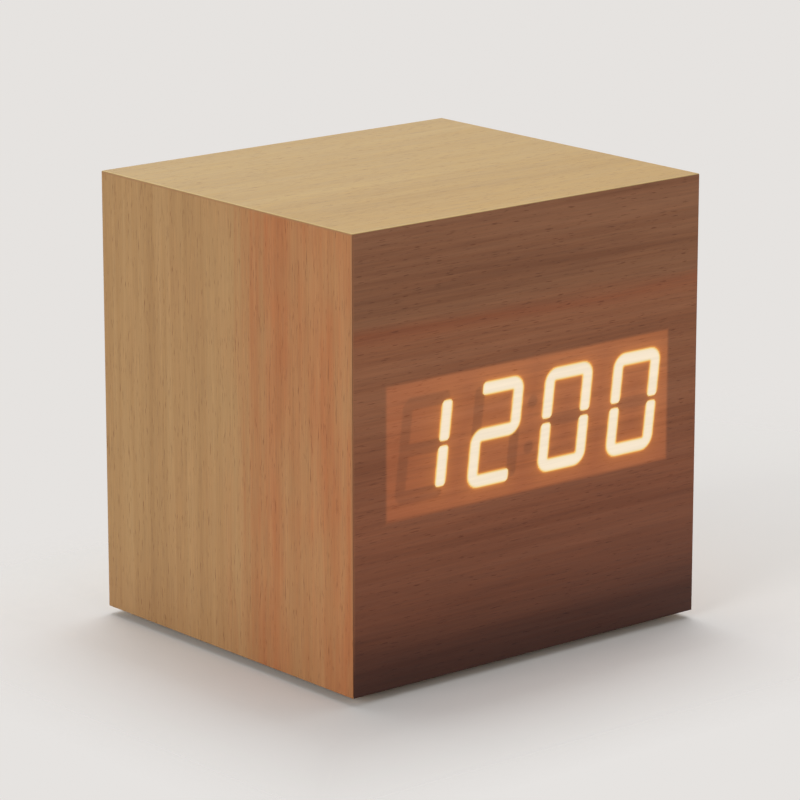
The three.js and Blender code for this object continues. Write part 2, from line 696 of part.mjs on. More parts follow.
function batteryDoor() {
  const plate = box(hingeX, doorEnd, -doorHalf, doorHalf, 0, DOOR);
  const alongHinge = (radius, half, sides) =>
    rod(0, 0, radius, -half, half, sides).rotateX(Math.PI / 2).translate(hingeX, 0, BARREL_RADIUS);
  const barrel = alongHinge(BARREL_RADIUS, doorHalf, MEDIUM);
  const pins = alongHinge(HINGE_PIN_RADIUS, doorHalf + HINGE_PIN, COARSE);
  const slits = [-1, 1].map((side) => {
    const y = (side * (TONGUE_WIDTH + TONGUE_SLIT)) / 2;
    return pad(doorEnd, y, 2 * TONGUE_LENGTH, TONGUE_SLIT, -CLEAR, DOOR + CLEAR);
  });
  const grooves = counted(GRIP_GROOVES).map((i) => {
    const step = (i - (GRIP_GROOVES - 1) / 2) * 2 * GRIP_GROOVE;
    return pad(doorEnd - TONGUE_LENGTH / 2 + step, 0, GRIP_GROOVE, GRIP_LENGTH, -CLEAR, GRIP_DEPTH);
  });
  return cut(join(plate, barrel, pins), ...slits, ...grooves);
}

// A cell along +X with its positive nub last, its middle at the origin.
function batteryCell() {
  const radius = CELL_DIAMETER / 2;
  const half = CELL_LENGTH / 2;
  const shoulder = half - CELL_NUB;
  const nub = CELL_NUB_DIAMETER / 2;
  const profile = [
    [0, -half],
    [radius - CELL_CRIMP, -half],
    [radius, CELL_CRIMP - half],
    [radius, shoulder - CELL_CRIMP],
    [radius - CELL_CRIMP, shoulder],
    [nub, shoulder],
    [nub, half],
    [0, half],
  ];
  return turned(profile).rotateY(Math.PI / 2);
}

// Conical coil along +Z, the middle of its wire starting at z = 0.
function contactSpring() {
  const steps = SPRING_TURNS * SPRING_STEPS;
  const places = counted(steps + 1).map((i) => {
    const angle = (i / SPRING_STEPS) * 2 * Math.PI;
    const radius = THREE.MathUtils.lerp(SPRING_BASE, SPRING_TIP, i / steps);
    const z = ((SPRING_LENGTH - SPRING_WIRE / 2) * i) / steps;
    return new THREE.Vector3(radius * Math.cos(angle), radius * Math.sin(angle), z);
  });
  const gaps = places.flatMap((place, i) =>
    places.slice(i + SPRING_STEPS / 2).map((other) => place.distanceTo(other) - SPRING_WIRE),
  );
  console.log(`contact spring: least gap to itself ${Math.min(...gaps).toFixed(2)} mm`);
  return wire(places, SPRING_WIRE / 2, SPRING_SIDES, steps);
}

const spring = contactSpring();

// Contact sheet in the XY plane, +Y up and +Z towards the cells, with springs at the given x
// and, on request, a solder tag that reaches out of the tray.
function contactSheet(spanned, springXs, tagged) {
  const wide = (spanned - 1) * cellPitch + CONTACT_SIDE;
  const half = CONTACT / 2;
  const pieces = springXs.map((x) => spring.clone().translate(x, 0, half));
  if (tagged) pieces.push(box(-TAG_WIDTH / 2, TAG_WIDTH / 2, 0, tagTop - cellZ, -half, half));
  return join(pad(0, 0, wide, CONTACT_SIDE, -half, half), ...pieces);
}

const clock = new THREE.Group();

function add(parent, name, geometry, finishName, place = [0, 0, 0], turn = [0, 0, 0]) {
  const mesh = new THREE.Mesh(geometry, finishes[finishName]);
  mesh.name = name;
  mesh.position.set(...place);
  mesh.rotation.set(...turn);
  parent.add(mesh);
}

function frameAt(parent, place, turn = [0, 0, 0]) {
  const frame = new THREE.Group();
  frame.position.set(...place);
  frame.rotation.set(...turn);
  parent.add(frame);
  return frame;
}

// Stands local +Y up and points local +Z at -Y, turned about the upright in quarter turns.
const facing = (quarters) => [Math.PI / 2, 0, (quarters * Math.PI) / 2, "ZXY"];
const upsideDown = [Math.PI, 0, 0];

// Frames on the case's faces: +Z out of the face, +Y up from the case's bottom edge.
const frontFrame = frameAt(clock, [0, -depth / 2, FOOT_HEIGHT], facing(0));
const rightFrame = frameAt(clock, [width / 2, 0, FOOT_HEIGHT], facing(1));
const backFrame = frameAt(clock, [0, depth / 2, FOOT_HEIGHT], facing(2));
const leftFrame = frameAt(clock, [-width / 2, 0, FOOT_HEIGHT], facing(3));
const baseFrame = frameAt(clock, [0, 0, FOOT_HEIGHT]);

// Case
add(frontFrame, "front_panel", frontPanel(), "frontVeneer");
const leftBoard = caseBoard(-depth / 2, depth / 2, 0, height, ["x1", "y0", "y1"]);
const rightBoard = caseBoard(-depth / 2, depth / 2, 0, height, ["x0", "y0", "y1"]);
const topBoard = caseBoard(-width / 2, width / 2, -depth / 2, depth / 2, ["x0", "x1", "y0"]);
add(leftFrame, "left_side_board", leftBoard, "sideVeneer");
add(rightFrame, "right_side_board", rightBoard, "sideVeneer");
add(baseFrame, "top_board", topBoard, "paleVeneer", [0, 0, height]);
add(baseFrame, "bottom_board", bottomBoard(), "paleVeneer", [0, 0, 0], [0, Math.PI, 0]);
add(backFrame, "back_board", backBoard(), "paleVeneer");
["lower", "upper"].forEach((row, i) => {
  for (const [side, sign] of [["left", 1], ["right", -1]]) {
    const place = [sign * backScrewX, backScrewYs[i]];
    add(backFrame, `${row}_${side}_corner_block`, cornerBlock(), "fibreboard", [...place, -BACK - GLUE]);
    add(backFrame, `${row}_${side}_back_screw`, backScrew(), "steel", [...place, -GLUE]);
  }
});
for (const [end, endSign] of [["front", -1], ["rear", 1]]) {
  for (const [side, sideSign] of [["left", -1], ["right", 1]]) {
    const place = [sideSign * (width / 2 - FOOT_INSET_X), endSign * (depth / 2 - FOOT_INSET_Y), 0];
    add(clock, `${end}_${side}_foot`, foot(), "rubber", place);
  }
}

// Display, in a frame on the front face of its board
const display = frameAt(frontFrame, [0, displayY, -BOARD - GLUE]);
const filmTop = BOARD - SKIN;
const filmBottom = filmTop - FILM;
const film = pad(0, 0, reflectorWidth, reflectorHeight, filmBottom, filmTop);
add(display, "diffuser_film", film, "film");
add(display, "segment_reflector", segmentReflector(filmBottom - 2 * GLUE), "whitePlastic", [0, 0, GLUE]);
add(display, "display_board", displayBoard(), "circuit");
displayScrewPlaces.forEach(([x, y], i) => {
  const screw = panScrew(GLUE + PCB + GLUE + THREAD_REACH);
  add(display, `display_screw_${i + 1}`, screw, "steel", [x, y, -PCB - GLUE], upsideDown);
});

// Main board and controls, in a frame on the rear face of the board
const controls = frameAt(backFrame, [0, 0, -BACK - spacerLength]);
const innerFace = -PCB - GLUE;
add(controls, "main_board", mainBoard(), "circuit");
for (const { name, x } of buttons) {
  const capZ = spacerLength - CLEAR - CAP_FLANGE;
  const plungerZ = GLUE + SWITCH_HEIGHT;
  add(controls, `${name}_button`, buttonCap(), "button", [x, buttonY, capZ]);
  add(controls, `${name}_switch_body`, switchBody(), "chip", [x, buttonY, GLUE]);
  add(controls, `${name}_switch_plunger`, switchPlunger(), "whitePlastic", [x, buttonY, plungerZ]);
}
add(controls, "power_jack", powerJack(), "blackPlastic", [JACK_X, jackY, GLUE]);
add(controls, "jack_pin", jackPin(), "nickel", [JACK_X, jackY, GLUE]);
add(controls, "buzzer", soundCan(BUZZER_DIAMETER), "blackPlastic", [BUZZER_X, buzzerY, GLUE]);
add(controls, "microphone", soundCan(MIC_DIAMETER), "nickel", [0, micY, GLUE]);
const chip = pad(0, 0, CHIP_WIDTH, CHIP_HEIGHT, -CHIP_DEPTH, 0);
add(controls, "controller_chip", chip, "chip", [0, mainTop - CHIP_DROP, innerFace]);
const crystal = rod(0, 0, CRYSTAL_DIAMETER / 2, -CRYSTAL_LENGTH / 2, CRYSTAL_LENGTH / 2, COARSE);
const crystalPlace = [CRYSTAL_X, mainTop - CRYSTAL_DROP, innerFace - CRYSTAL_DIAMETER / 2];
add(controls, "clock_crystal", crystal, "nickel", crystalPlace, [0, Math.PI / 2, 0]);
[-1, 1].forEach((side, i) => {
  const place = [side * mainScrewX, mainScrewY];
  const screw = panScrew(GLUE + PCB + spacerLength + THREAD_REACH);
  add(controls, `board_spacer_${i + 1}`, boardSpacer(), "whitePlastic", [...place, 0]);
  add(controls, `board_screw_${i + 1}`, screw, "steel", [...place, innerFace], upsideDown);
});

// Battery tray, its door and its screws
add(baseFrame, "battery_tray", batteryTray(), "blackPlastic");
add(baseFrame, "battery_door", batteryDoor(), "blackPlastic");
for (const [end, sign] of [["front", -1], ["rear", 1]]) {
  const screw = panScrew(GLUE + EAR_SEAT + GLUE + EAR_THREAD);
  const place = [0, sign * earScrewY, EAR_SINK + SMALL_HEAD_DEPTH];
  add(baseFrame, `${end}_tray_screw`, screw, "steel", place, upsideDown);
}

// Cells and the contacts that join them in a row
for (const cell of counted(CELLS)) {
  const end = plusEnd(cell);
  const turn = [0, 0, end > 0 ? 0 : Math.PI];
  const place = [(end * SPRING_LENGTH) / 2, cellY(cell), cellZ];
  add(baseFrame, `battery_cell_${cell + 1}`, batteryCell(), "cell", place, turn);
}
const towardsCells = { "1": facing(3), "-1": facing(1) };
function addContact(name, geometry, end, y) {
  add(baseFrame, name, geometry, "nickel", [end * contactX, y, cellZ], towardsCells[end]);
}
const [positiveTag, negativeTag] = tags;
addContact("positive_terminal", contactSheet(1, [], true), positiveTag.end, positiveTag.y);
addContact("negative_terminal", contactSheet(1, [0], true), negativeTag.end, negativeTag.y);
for (const cell of counted(lastCell)) {
  const end = plusEnd(cell + 1);
  const sheet = contactSheet(2, [(end * cellPitch) / 2], false);
  addContact(`bridge_contact_${cell + 1}`, sheet, end, cellY(cell) + cellPitch / 2);
}

// Wiring
add(baseFrame, "display_ribbon", displayRibbon(), "ribbon", [0, 0, 0], facing(1));
add(baseFrame, "positive_lead", batteryLead(positiveTag.end, positiveTag.y), "redLead");
add(baseFrame, "negative_lead", batteryLead(negativeTag.end, negativeTag.y), "blackLead");

export default clock;
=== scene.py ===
"""Looks of the block clock: veneered boards, digits that shine through, controls and battery bay."""
import json
import math

import bmesh
import bpy
import numpy as np
from mathutils import Matrix, Vector


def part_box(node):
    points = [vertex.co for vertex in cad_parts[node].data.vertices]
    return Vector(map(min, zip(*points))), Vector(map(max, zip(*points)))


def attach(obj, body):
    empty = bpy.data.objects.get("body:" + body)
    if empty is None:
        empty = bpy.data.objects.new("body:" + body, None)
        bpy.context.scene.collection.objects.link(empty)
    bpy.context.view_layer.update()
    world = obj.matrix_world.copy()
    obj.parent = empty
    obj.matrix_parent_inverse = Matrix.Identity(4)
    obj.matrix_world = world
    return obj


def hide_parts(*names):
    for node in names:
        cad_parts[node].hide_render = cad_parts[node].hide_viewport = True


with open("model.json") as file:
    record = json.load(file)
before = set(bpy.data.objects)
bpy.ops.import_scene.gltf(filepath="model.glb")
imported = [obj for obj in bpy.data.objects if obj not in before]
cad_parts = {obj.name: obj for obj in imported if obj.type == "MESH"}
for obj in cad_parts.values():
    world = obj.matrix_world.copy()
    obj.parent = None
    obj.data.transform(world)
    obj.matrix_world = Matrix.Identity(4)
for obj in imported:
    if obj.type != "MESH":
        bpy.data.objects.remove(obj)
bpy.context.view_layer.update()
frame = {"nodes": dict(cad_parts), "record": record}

MM = 0.001
AXES = "XYZ"


# Frame


class Box:
    """The box of a CAD node, in millimetres."""

    def __init__(self, node):
        self.low, self.high = [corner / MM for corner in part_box(node)]
        self.middle = (self.low + self.high) / 2
        self.size = self.high - self.low


# Outer faces of the case and thickness of its boards, in millimetres
front_box = Box("front_panel")
back_box = Box("back_board")
case_low = Vector((Box("left_side_board").low.x, front_box.low.y, Box("bottom_board").low.z))
case_high = Vector((Box("right_side_board").high.x, back_box.high.y, Box("top_board").high.z))
board_depth = front_box.size.y


# Shader helpers

NOISE_RANGE = (0.3, 0.7)
NOISE_ROUGHNESS = 0.55
WOBBLE = 0.04


def fill(tree, inputs, values):
    """Gives each input a constant or another node's output. A colour is red, green and blue."""
    for name, value in values.items():
        if isinstance(value, bpy.types.NodeSocket):
            tree.links.new(value, inputs[name])
        elif inputs[name].type == "RGBA":
            inputs[name].default_value = (*value, 1.0)
        else:
            inputs[name].default_value = value


def add_node(tree, kind, values, **settings):
    """A new node of a kind, with its settings made and its inputs filled."""
    made = tree.nodes.new(kind)
    for name, value in settings.items():
        setattr(made, name, value)
    fill(tree, made.inputs, values)
    return made


def math_node(tree, operation, first, *others):
    """Puts two or more values through an operation, from left to right."""
    for other in others:
        first = add_node(tree, "ShaderNodeMath", {0: first, 1: other}, operation=operation).outputs[0]
    return first


def product(tree, *factors):
    return math_node(tree, "MULTIPLY", *factors)


def map_range(tree, value, from_low, from_high, to_low=0.0, to_high=1.0):
    values = {0: value, 1: from_low, 2: from_high, 3: to_low, 4: to_high}
    return add_node(tree, "ShaderNodeMapRange", values).outputs[0]


def spread(tree, noise, low, high):
    """Draws the usual values of a noise out to a range."""
    return map_range(tree, noise, *NOISE_RANGE, low, high)


def mix_colour(tree, factor, first, second, blend="MIX"):
    values = {0: factor, 6: first, 7: second}
    return add_node(tree, "ShaderNodeMix", values, data_type="RGBA", blend_type=blend).outputs[2]


def tinted(tree, colour, tint):
    """A colour times another one, or times a plain brightness."""
    return mix_colour(tree, 1.0, colour, tint, "MULTIPLY")


def colour_ramp(tree, factor, stops):
    """Colours along 0 to 1; stops are (position, red, green, blue)."""
    ramp = add_node(tree, "ShaderNodeValToRGB", {0: factor})
    elements = ramp.color_ramp.elements
    while len(elements) < len(stops):
        elements.new(1.0)
    for element, (position, *colour) in zip(elements, stops):
        element.position = position
        element.color = (*colour, 1.0)
    return ramp.outputs[0]


def grey_ramp(tree, factor, stops):
    """Brightness along 0 to 1; stops are (position, brightness)."""
    return colour_ramp(tree, factor, [(position, grey, grey, grey) for position, grey in stops])


def object_place(tree):
    return add_node(tree, "ShaderNodeTexCoord", {}).outputs["Object"]


def attribute(tree, name):
    return add_node(tree, "ShaderNodeAttribute", {}, attribute_name=name).outputs["Fac"]


def streak_noise(tree, grain, across, along, detail, shift, distortion=0.0):
    """Noise drawn out along the grain axis; across and along are the streaks' sizes in millimetres."""
    scale = [1 / (across * MM)] * 3
    scale[AXES.index(grain)] = 1 / (along * MM)
    values = {"Vector": object_place(tree), "Scale": scale, "Location": (shift, shift, shift)}
    place = add_node(tree, "ShaderNodeMapping", values).outputs[0]
    values = {"Vector": place, "Scale": 1.0, "Detail": detail}
    values.update({"Roughness": NOISE_ROUGHNESS, "Distortion": distortion})
    return add_node(tree, "ShaderNodeTexNoise", values).outputs[0]


def even_noise(tree, size, detail):
    """Noise with no direction; size is in millimetres."""
    values = {"Vector": object_place(tree), "Scale": 1 / (size * MM), "Detail": detail}
    return add_node(tree, "ShaderNodeTexNoise", values).outputs[0]


def along_axis(tree, axis, low, high, wobble=None):
    """0 to 1 between two places along an axis, in millimetres, pushed about by a noise on request."""
    split = add_node(tree, "ShaderNodeSeparateXYZ", {0: object_place(tree)}).outputs[AXES.index(axis)]
    place = map_range(tree, split, low * MM, high * MM)
    if wobble is not None:
        place = math_node(tree, "ADD", place, map_range(tree, wobble, 0.0, 1.0, -WOBBLE, WOBBLE))
    return place


def new_material(name):
    """A material, its node tree and the inputs of its shader."""
    material = bpy.data.materials.new(name)
    material.use_nodes = True
    tree = material.node_tree
    return material, tree, tree.nodes["Principled BSDF"].inputs


def add_bump(tree, inputs, height, distance, strength):
    """Bump from a height; distance is in millimetres."""
    values = {"Height": height, "Distance": distance * MM, "Strength": strength}
    fill(tree, inputs, {"Normal": add_node(tree, "ShaderNodeBump", values).outputs[0]})


# Materials

# The streaks that choose among a veneer's four tones: width and length in millimetres, detail, shift,
# distortion and share
COLOUR_STREAKS = (
    (8.0, 170.0, 2.0, 0.0, 0.6, 0.42),
    (1.9, 80.0, 3.0, 3.1, 0.5, 0.34),
    (0.5, 22.0, 3.0, 7.7, 0.3, 0.24),
)
TONE_STOPS = (0.36, 0.47, 0.55, 0.66)
# Fibres and pores: width and length in millimetres, and detail
FIBRES = (0.16, 6.0, 2.0)
PORES = (0.13, 1.9, 1.0)
FIBRE_SHIFT = 1.3
PORE_SHIFT = 5.9
FIBRE_SHADES = (0.9, 1.08)
PORE_RANGE = (0.64, 0.74)
PORE_TINT = (0.62, 0.52, 0.47)
PORE_DEPTH = 0.8
SATIN = (0.5, 0.66)
# Painted edge light: the heights in millimetres over which it grows from the foot of the case, and its share
PAINTED_EDGE_HEIGHTS = (3.0, 16.0)
PAINTED_EDGE_SHARE = 0.5


def veneer(name, grain, shift, tones, painted_edge, dress):
    """A straight-grained veneer: streaks among four tones, fibres, pores, painted light along its rounded
    edges and a satin sheen.
    dress(tree, colour) gives the colour as it lies on the boards, with the painted shade that some dresses
    add."""
    material, tree, inputs = new_material(name)
    tone = 0.0
    for across, along, detail, offset, distortion, share in COLOUR_STREAKS:
        streaks = streak_noise(tree, grain, across, along, detail, shift + offset, distortion)
        tone = math_node(tree, "ADD", tone, product(tree, streaks, share))
    fibres = streak_noise(tree, grain, *FIBRES, shift + FIBRE_SHIFT)
    pores = map_range(tree, streak_noise(tree, grain, *PORES, shift + PORE_SHIFT), *PORE_RANGE)
    colour = colour_ramp(tree, tone, [(stop, *colour) for stop, colour in zip(TONE_STOPS, tones)])
    colour = tinted(tree, colour, spread(tree, fibres, *FIBRE_SHADES))
    colour = mix_colour(tree, pores, colour, tinted(tree, colour, PORE_TINT))
    colour = dress(tree, colour)
    # Painted edge light: a painted highlight on the rounded edges of the pale boards, a painted edge tone on
    # the others, faded out near the foot
    upper = along_axis(tree, "Z", *PAINTED_EDGE_HEIGHTS)
    painted_edge_share = product(tree, attribute(tree, "painted_edge_light"), upper, PAINTED_EDGE_SHARE)
    fill(tree, inputs, {
        "Base Color": mix_colour(tree, painted_edge_share, colour, painted_edge),
        "Roughness": spread(tree, fibres, *SATIN),
        "Specular IOR Level": 0.25,
    })
    relief = math_node(tree, "SUBTRACT", fibres, product(tree, pores, PORE_DEPTH))
    add_bump(tree, inputs, relief, 0.03, 0.5)
    return material


PALE_TONES = (
    (0.416, 0.264, 0.097),
    (0.452, 0.292, 0.111),
    (0.468, 0.307, 0.120),
    (0.488, 0.326, 0.130),
)
# Painted highlight along the rounded edges of the top and the back
PALE_PAINTED_EDGE = (0.66, 0.49, 0.22)


def dress_pale(tree, colour):
    """The top and the back, warmer towards the front."""
    warmth = colour_ramp(tree, along_axis(tree, "Y", case_low.y, case_high.y), [
        (0.0, 1.00, 0.95, 0.82),
        (0.5, 1.00, 0.99, 0.95),
        (1.0, 1.00, 1.01, 1.02),
    ])
    return tinted(tree, colour, warmth)


SIDE_TONES = (
    (0.368, 0.208, 0.084),
    (0.408, 0.237, 0.098),
    (0.432, 0.258, 0.110),
    (0.458, 0.281, 0.124),
)
# Painted edge light along the rounded edges of the sides
SIDE_PAINTED_EDGE = (0.36, 0.18, 0.08)
# Red of the sides from front to back: position and amount
BLUSH_STOPS = (
    (0.00, 1.00), (0.11, 0.88), (0.18, 0.70), (0.24, 0.66),
    (0.30, 0.80), (0.35, 0.70), (0.47, 0.18), (0.80, 0.06),
)
BLUSH_TINT = (1.0, 0.63, 0.53)
# Painted shade that darkens the foot of the sides
PAINTED_FOOT_SHADE = (0.80, 0.70, 0.66)


def dress_side(tree, colour):
    """The sides, with a red blush towards the front and painted shade that darkens their foot."""
    wobble = streak_noise(tree, "Z", 5.0, 60.0, 2.0, 4.0)
    fray = spread(tree, streak_noise(tree, "Z", 0.8, 34.0, 3.0, 14.0), -0.045, 0.045)
    place = math_node(tree, "ADD", along_axis(tree, "Y", case_low.y, case_high.y, wobble), fray)
    blush = grey_ramp(tree, place, BLUSH_STOPS)
    patches = map_range(tree, streak_noise(tree, "Z", 2.4, 26.0, 3.0, 8.0), 0.3, 0.62, 0.6, 1.1)
    tide = map_range(tree, streak_noise(tree, "Z", 14.0, 20.0, 2.0, 27.0), 0.32, 0.66, 0.55, 1.2)
    amount = product(tree, patches, tide, blush, attribute(tree, "rosy"))
    colour = mix_colour(tree, amount, colour, tinted(tree, colour, BLUSH_TINT))
    # Painted shade: the lowest fifth of each side darkens towards the floor
    foot = map_range(tree, along_axis(tree, "Z", case_low.z, case_high.z), 0.0, 0.2, 0.4, 0.0)
    return mix_colour(tree, foot, colour, tinted(tree, colour, PAINTED_FOOT_SHADE))


FRONT_TONES = (
    (0.220, 0.079, 0.034),
    (0.272, 0.105, 0.047),
    (0.300, 0.121, 0.056),
    (0.332, 0.140, 0.067),
)
# Painted edge light along the rounded edges of the front
FRONT_PAINTED_EDGE = (0.24, 0.10, 0.045)
UNLIT_SHADE = 0.5


def dress_front(tree, colour):
    """The front, with painted shade that darkens it towards its foot, a redder band high up and a painted
    greyish reflection along its top, and with the display's light soaking through it.
    """
    shaded = math_node(tree, "SUBTRACT", 1.0, product(tree, attribute(tree, "unlit"), UNLIT_SHADE))
    grainy = spread(tree, streak_noise(tree, "X", 0.8, 25.0, 3.0, 21.0), 0.75, 1.2)
    soak = product(tree, attribute(tree, "window"), shaded, grainy)
    backlight = mix_colour(tree, attribute(tree, "bloom"), (0.137, 0.033, 0.009), (0.240, 0.070, 0.015))
    panel = mix_colour(tree, soak, (0.0, 0.0, 0.0), backlight)
    glow = colour_ramp(tree, attribute(tree, "halo"), [
        (0.00, 0.0, 0.0, 0.0),
        (0.30, 0.050, 0.016, 0.001),
        (0.62, 0.20, 0.085, 0.010),
        (0.85, 0.48, 0.27, 0.042),
        (1.00, 0.76, 0.50, 0.110),
    ])
    light = mix_colour(tree, 1.0, panel, glow, "ADD")
    fill(tree, tree.nodes["Principled BSDF"].inputs, {"Emission Color": light, "Emission Strength": 1.0})
    # Painted shade towards the foot and a painted reflection along the top, with a redder band of the veneer
    # three quarters of the way up
    wobble = streak_noise(tree, "X", 6.0, 60.0, 2.0, 9.0)
    painted_shade_sheen_and_band = colour_ramp(tree, along_axis(tree, "Z", case_low.z, case_high.z, wobble), [
        (0.00, 0.18, 0.15, 0.21),
        (0.07, 0.31, 0.26, 0.32),
        (0.17, 0.58, 0.48, 0.51),
        (0.34, 0.91, 0.78, 0.78),
        (0.66, 1.00, 0.96, 0.94),
        (0.745, 1.00, 0.94, 0.90),
        (0.775, 0.98, 0.80, 0.72),
        (0.80, 0.94, 1.00, 1.02),
        (1.00, 0.98, 1.06, 1.12),
    ])
    return tinted(tree, colour, painted_shade_sheen_and_band)


def lit_display():
    """Warm white light that yellows towards the rim of each stroke."""
    material, tree, inputs = new_material("lit_display")
    light = colour_ramp(tree, attribute(tree, "core"), [
        (0.00, 0.76, 0.49, 0.13),
        (0.22, 0.84, 0.67, 0.35),
        (0.50, 0.84, 0.71, 0.50),
        (1.00, 0.85, 0.735, 0.57),
    ])
    grainy = spread(tree, streak_noise(tree, "X", 0.5, 14.0, 3.0, 31.0), 0.94, 1.03)
    fill(tree, inputs, {
        "Base Color": mix_colour(tree, grainy, (0.05, 0.03, 0.015), (0.07, 0.045, 0.02)),
        "Roughness": 0.5,
        "Emission Color": tinted(tree, light, grainy),
        "Emission Strength": 1.0,
    })
    return material


def moulded(name, colour, roughness, size, depth):
    """Plastic or rubber with a fine moulded texture; size and depth of its grain are in millimetres."""
    material, tree, inputs = new_material(name)
    cloudy = even_noise(tree, 6.0, 3.0)
    texture = even_noise(tree, size, 2.0)
    darker = [channel * 0.82 for channel in colour]
    lighter = [channel * 1.12 + 0.003 for channel in colour]
    fill(tree, inputs, {
        "Base Color": mix_colour(tree, cloudy, darker, lighter),
        "Roughness": spread(tree, texture, roughness - 0.06, roughness + 0.06),
    })
    add_bump(tree, inputs, texture, depth, 0.5)
    return material


def plated(name, colour, roughness):
    """Plated metal with faint drawing marks and cloudiness."""
    material, tree, inputs = new_material(name)
    cloudy = even_noise(tree, 1.6, 4.0)
    marks = even_noise(tree, 0.12, 2.0)
    darker = [channel * 0.8 for channel in colour]
    fill(tree, inputs, {
        "Base Color": mix_colour(tree, cloudy, darker, colour),
        "Roughness": spread(tree, cloudy, roughness - 0.08, roughness + 0.1),
        "Metallic": 1.0,
    })
    add_bump(tree, inputs, marks, 0.008, 0.3)
    return material


def fibreboard():
    """Bare wood fibre, in coarse and fine chips."""
    material, tree, inputs = new_material("fibreboard")
    chips = even_noise(tree, 0.5, 5.0)
    base = colour_ramp(tree, chips, [
        (0.30, 0.24, 0.145, 0.075),
        (0.50, 0.35, 0.230, 0.125),
        (0.70, 0.44, 0.305, 0.180),
    ])
    fill(tree, inputs, {"Base Color": base, "Roughness": 0.9})
    add_bump(tree, inputs, chips, 0.05, 0.6)
    return material


def circuit_board():
    """Solder mask over copper lines."""
    material, tree, inputs = new_material("circuit_board")
    values = {"Vector": object_place(tree), "Scale": 260.0, "Distortion": 3.0, "Detail": 1.0}
    lines = add_node(tree, "ShaderNodeTexWave", values, bands_direction="DIAGONAL").outputs[1]
    copper = map_range(tree, lines, 0.55, 0.62)
    base = mix_colour(tree, copper, (0.012, 0.095, 0.035), (0.03, 0.17, 0.06))
    fill(tree, inputs, {"Base Color": base, "Roughness": 0.35})
    add_bump(tree, inputs, copper, 0.03, 0.4)
    return material


# Along a cell, from its negative end: position, metallic share and colour
SLEEVE_STOPS = (
    (0.018, 1.0, 0.55, 0.55, 0.54),
    (0.019, 0.1, 0.02, 0.023, 0.03),
    (0.680, 0.1, 0.024, 0.027, 0.035),
    (0.682, 0.6, 0.36, 0.15, 0.05),
    (0.952, 0.6, 0.40, 0.17, 0.06),
    (0.953, 1.0, 0.60, 0.60, 0.58),
)


def cell_sleeve():
    """Plain shrink sleeve with a coloured end, between bare metal ends. The cell lies along its own X."""
    material, tree, inputs = new_material("cell_can")
    half = Box("battery_cell_1").size.x / 2
    along = along_axis(tree, "X", -half, half)
    fill(tree, inputs, {
        "Base Color": colour_ramp(tree, along, [(stop, *colour) for stop, metal, *colour in SLEEVE_STOPS]),
        "Metallic": grey_ramp(tree, along, [(stop, metal) for stop, metal, *colour in SLEEVE_STOPS]),
        "Roughness": spread(tree, even_noise(tree, 4.0, 2.0), 0.28, 0.4),
    })
    return material


# Colour, roughness, and size and depth of the grain
MOULDED = {
    "black_plastic": ((0.020, 0.020, 0.022), 0.46, 0.22, 0.02),
    "white_plastic": ((0.80, 0.78, 0.73), 0.42, 0.3, 0.01),
    "chip": ((0.022, 0.022, 0.024), 0.55, 0.12, 0.02),
    "button": ((0.040, 0.040, 0.044), 0.4, 0.18, 0.015),
    "rubber": ((0.022, 0.022, 0.022), 0.8, 0.25, 0.03),
    "ribbon": ((0.28, 0.29, 0.31), 0.5, 0.4, 0.02),
    "red_lead": ((0.42, 0.022, 0.016), 0.4, 0.5, 0.01),
    "black_lead": ((0.016, 0.016, 0.017), 0.4, 0.5, 0.01),
}

materials = {
    "front_veneer": veneer("front_veneer", "X", 17.0, FRONT_TONES, FRONT_PAINTED_EDGE, dress_front),
    "pale_veneer": veneer("pale_veneer", "X", 2.0, PALE_TONES, PALE_PAINTED_EDGE, dress_pale),
    "side_veneer": veneer("side_veneer", "Z", 11.0, SIDE_TONES, SIDE_PAINTED_EDGE, dress_side),
    "fibreboard": fibreboard(),
    "lit_display": lit_display(),
    "circuit_board": circuit_board(),
    "steel": plated("steel", (0.60, 0.60, 0.59), 0.3),
    "nickel": plated("nickel", (0.66, 0.62, 0.54), 0.24),
    "cell_can": cell_sleeve(),
    **{name: moulded(name, *look) for name, look in MOULDED.items()},
}

for subpart in frame["record"]["subparts"]:
    frame["nodes"][subpart["node"]].material_slots[0].material = materials[subpart["material_slot"]]


# Mesh helpers

# Edges and seams of the boards, in millimetres
EDGE_RADIUS = 0.38
SEAM = 0.03

# Steps of an arc and sides of round shapes
ARC_STEPS = 6
FEW_STEPS = 4
ROUND_SIDES = 72
DISH_SIDES = 64
SCREW_SIDES = 56
HOLE_SIDES = 48
QUARTER_TURN = [math.pi / 2 * i / ARC_STEPS for i in range(ARC_STEPS + 1)]
SQUARE = ((-1, -1), (1, -1), (1, 1), (-1, 1))

SHARP_ANGLE = 35.0
FLAT_WEIGHT = 100
ON_AXIS = 1e-6

# Local Z of a piece turned out of the back points at +Y
OUT_OF_BACK = Matrix.Rotation(math.radians(-90.0), 4, "X")


def mesh_of(name, points, faces):
    """A mesh in metres from points in millimetres, its faces turned outwards."""
    made = bpy.data.meshes.new(name)
    made.from_pydata([[c * MM for c in point] for point in points], [], faces)
    shape = bmesh.new()
    shape.from_mesh(made)
    bmesh.ops.recalc_face_normals(shape, faces=shape.faces)
    shape.to_mesh(made)
    shape.free()
    return made


def join_meshes(name, meshes):
    joined = bmesh.new()
    for mesh in meshes:
        joined.from_mesh(mesh)
    made = bpy.data.meshes.new(name)
    joined.to_mesh(made)
    joined.free()
    return made


def store(mesh, name, values):
    """Stores a number for each point of a mesh, which a material then reads."""
    mesh.attributes.new(name, "FLOAT", "POINT").data.foreach_set("value", values)


def smooth(mesh):
    mesh.shade_smooth()
    mesh.set_sharp_from_angle(angle=math.radians(SHARP_ANGLE))


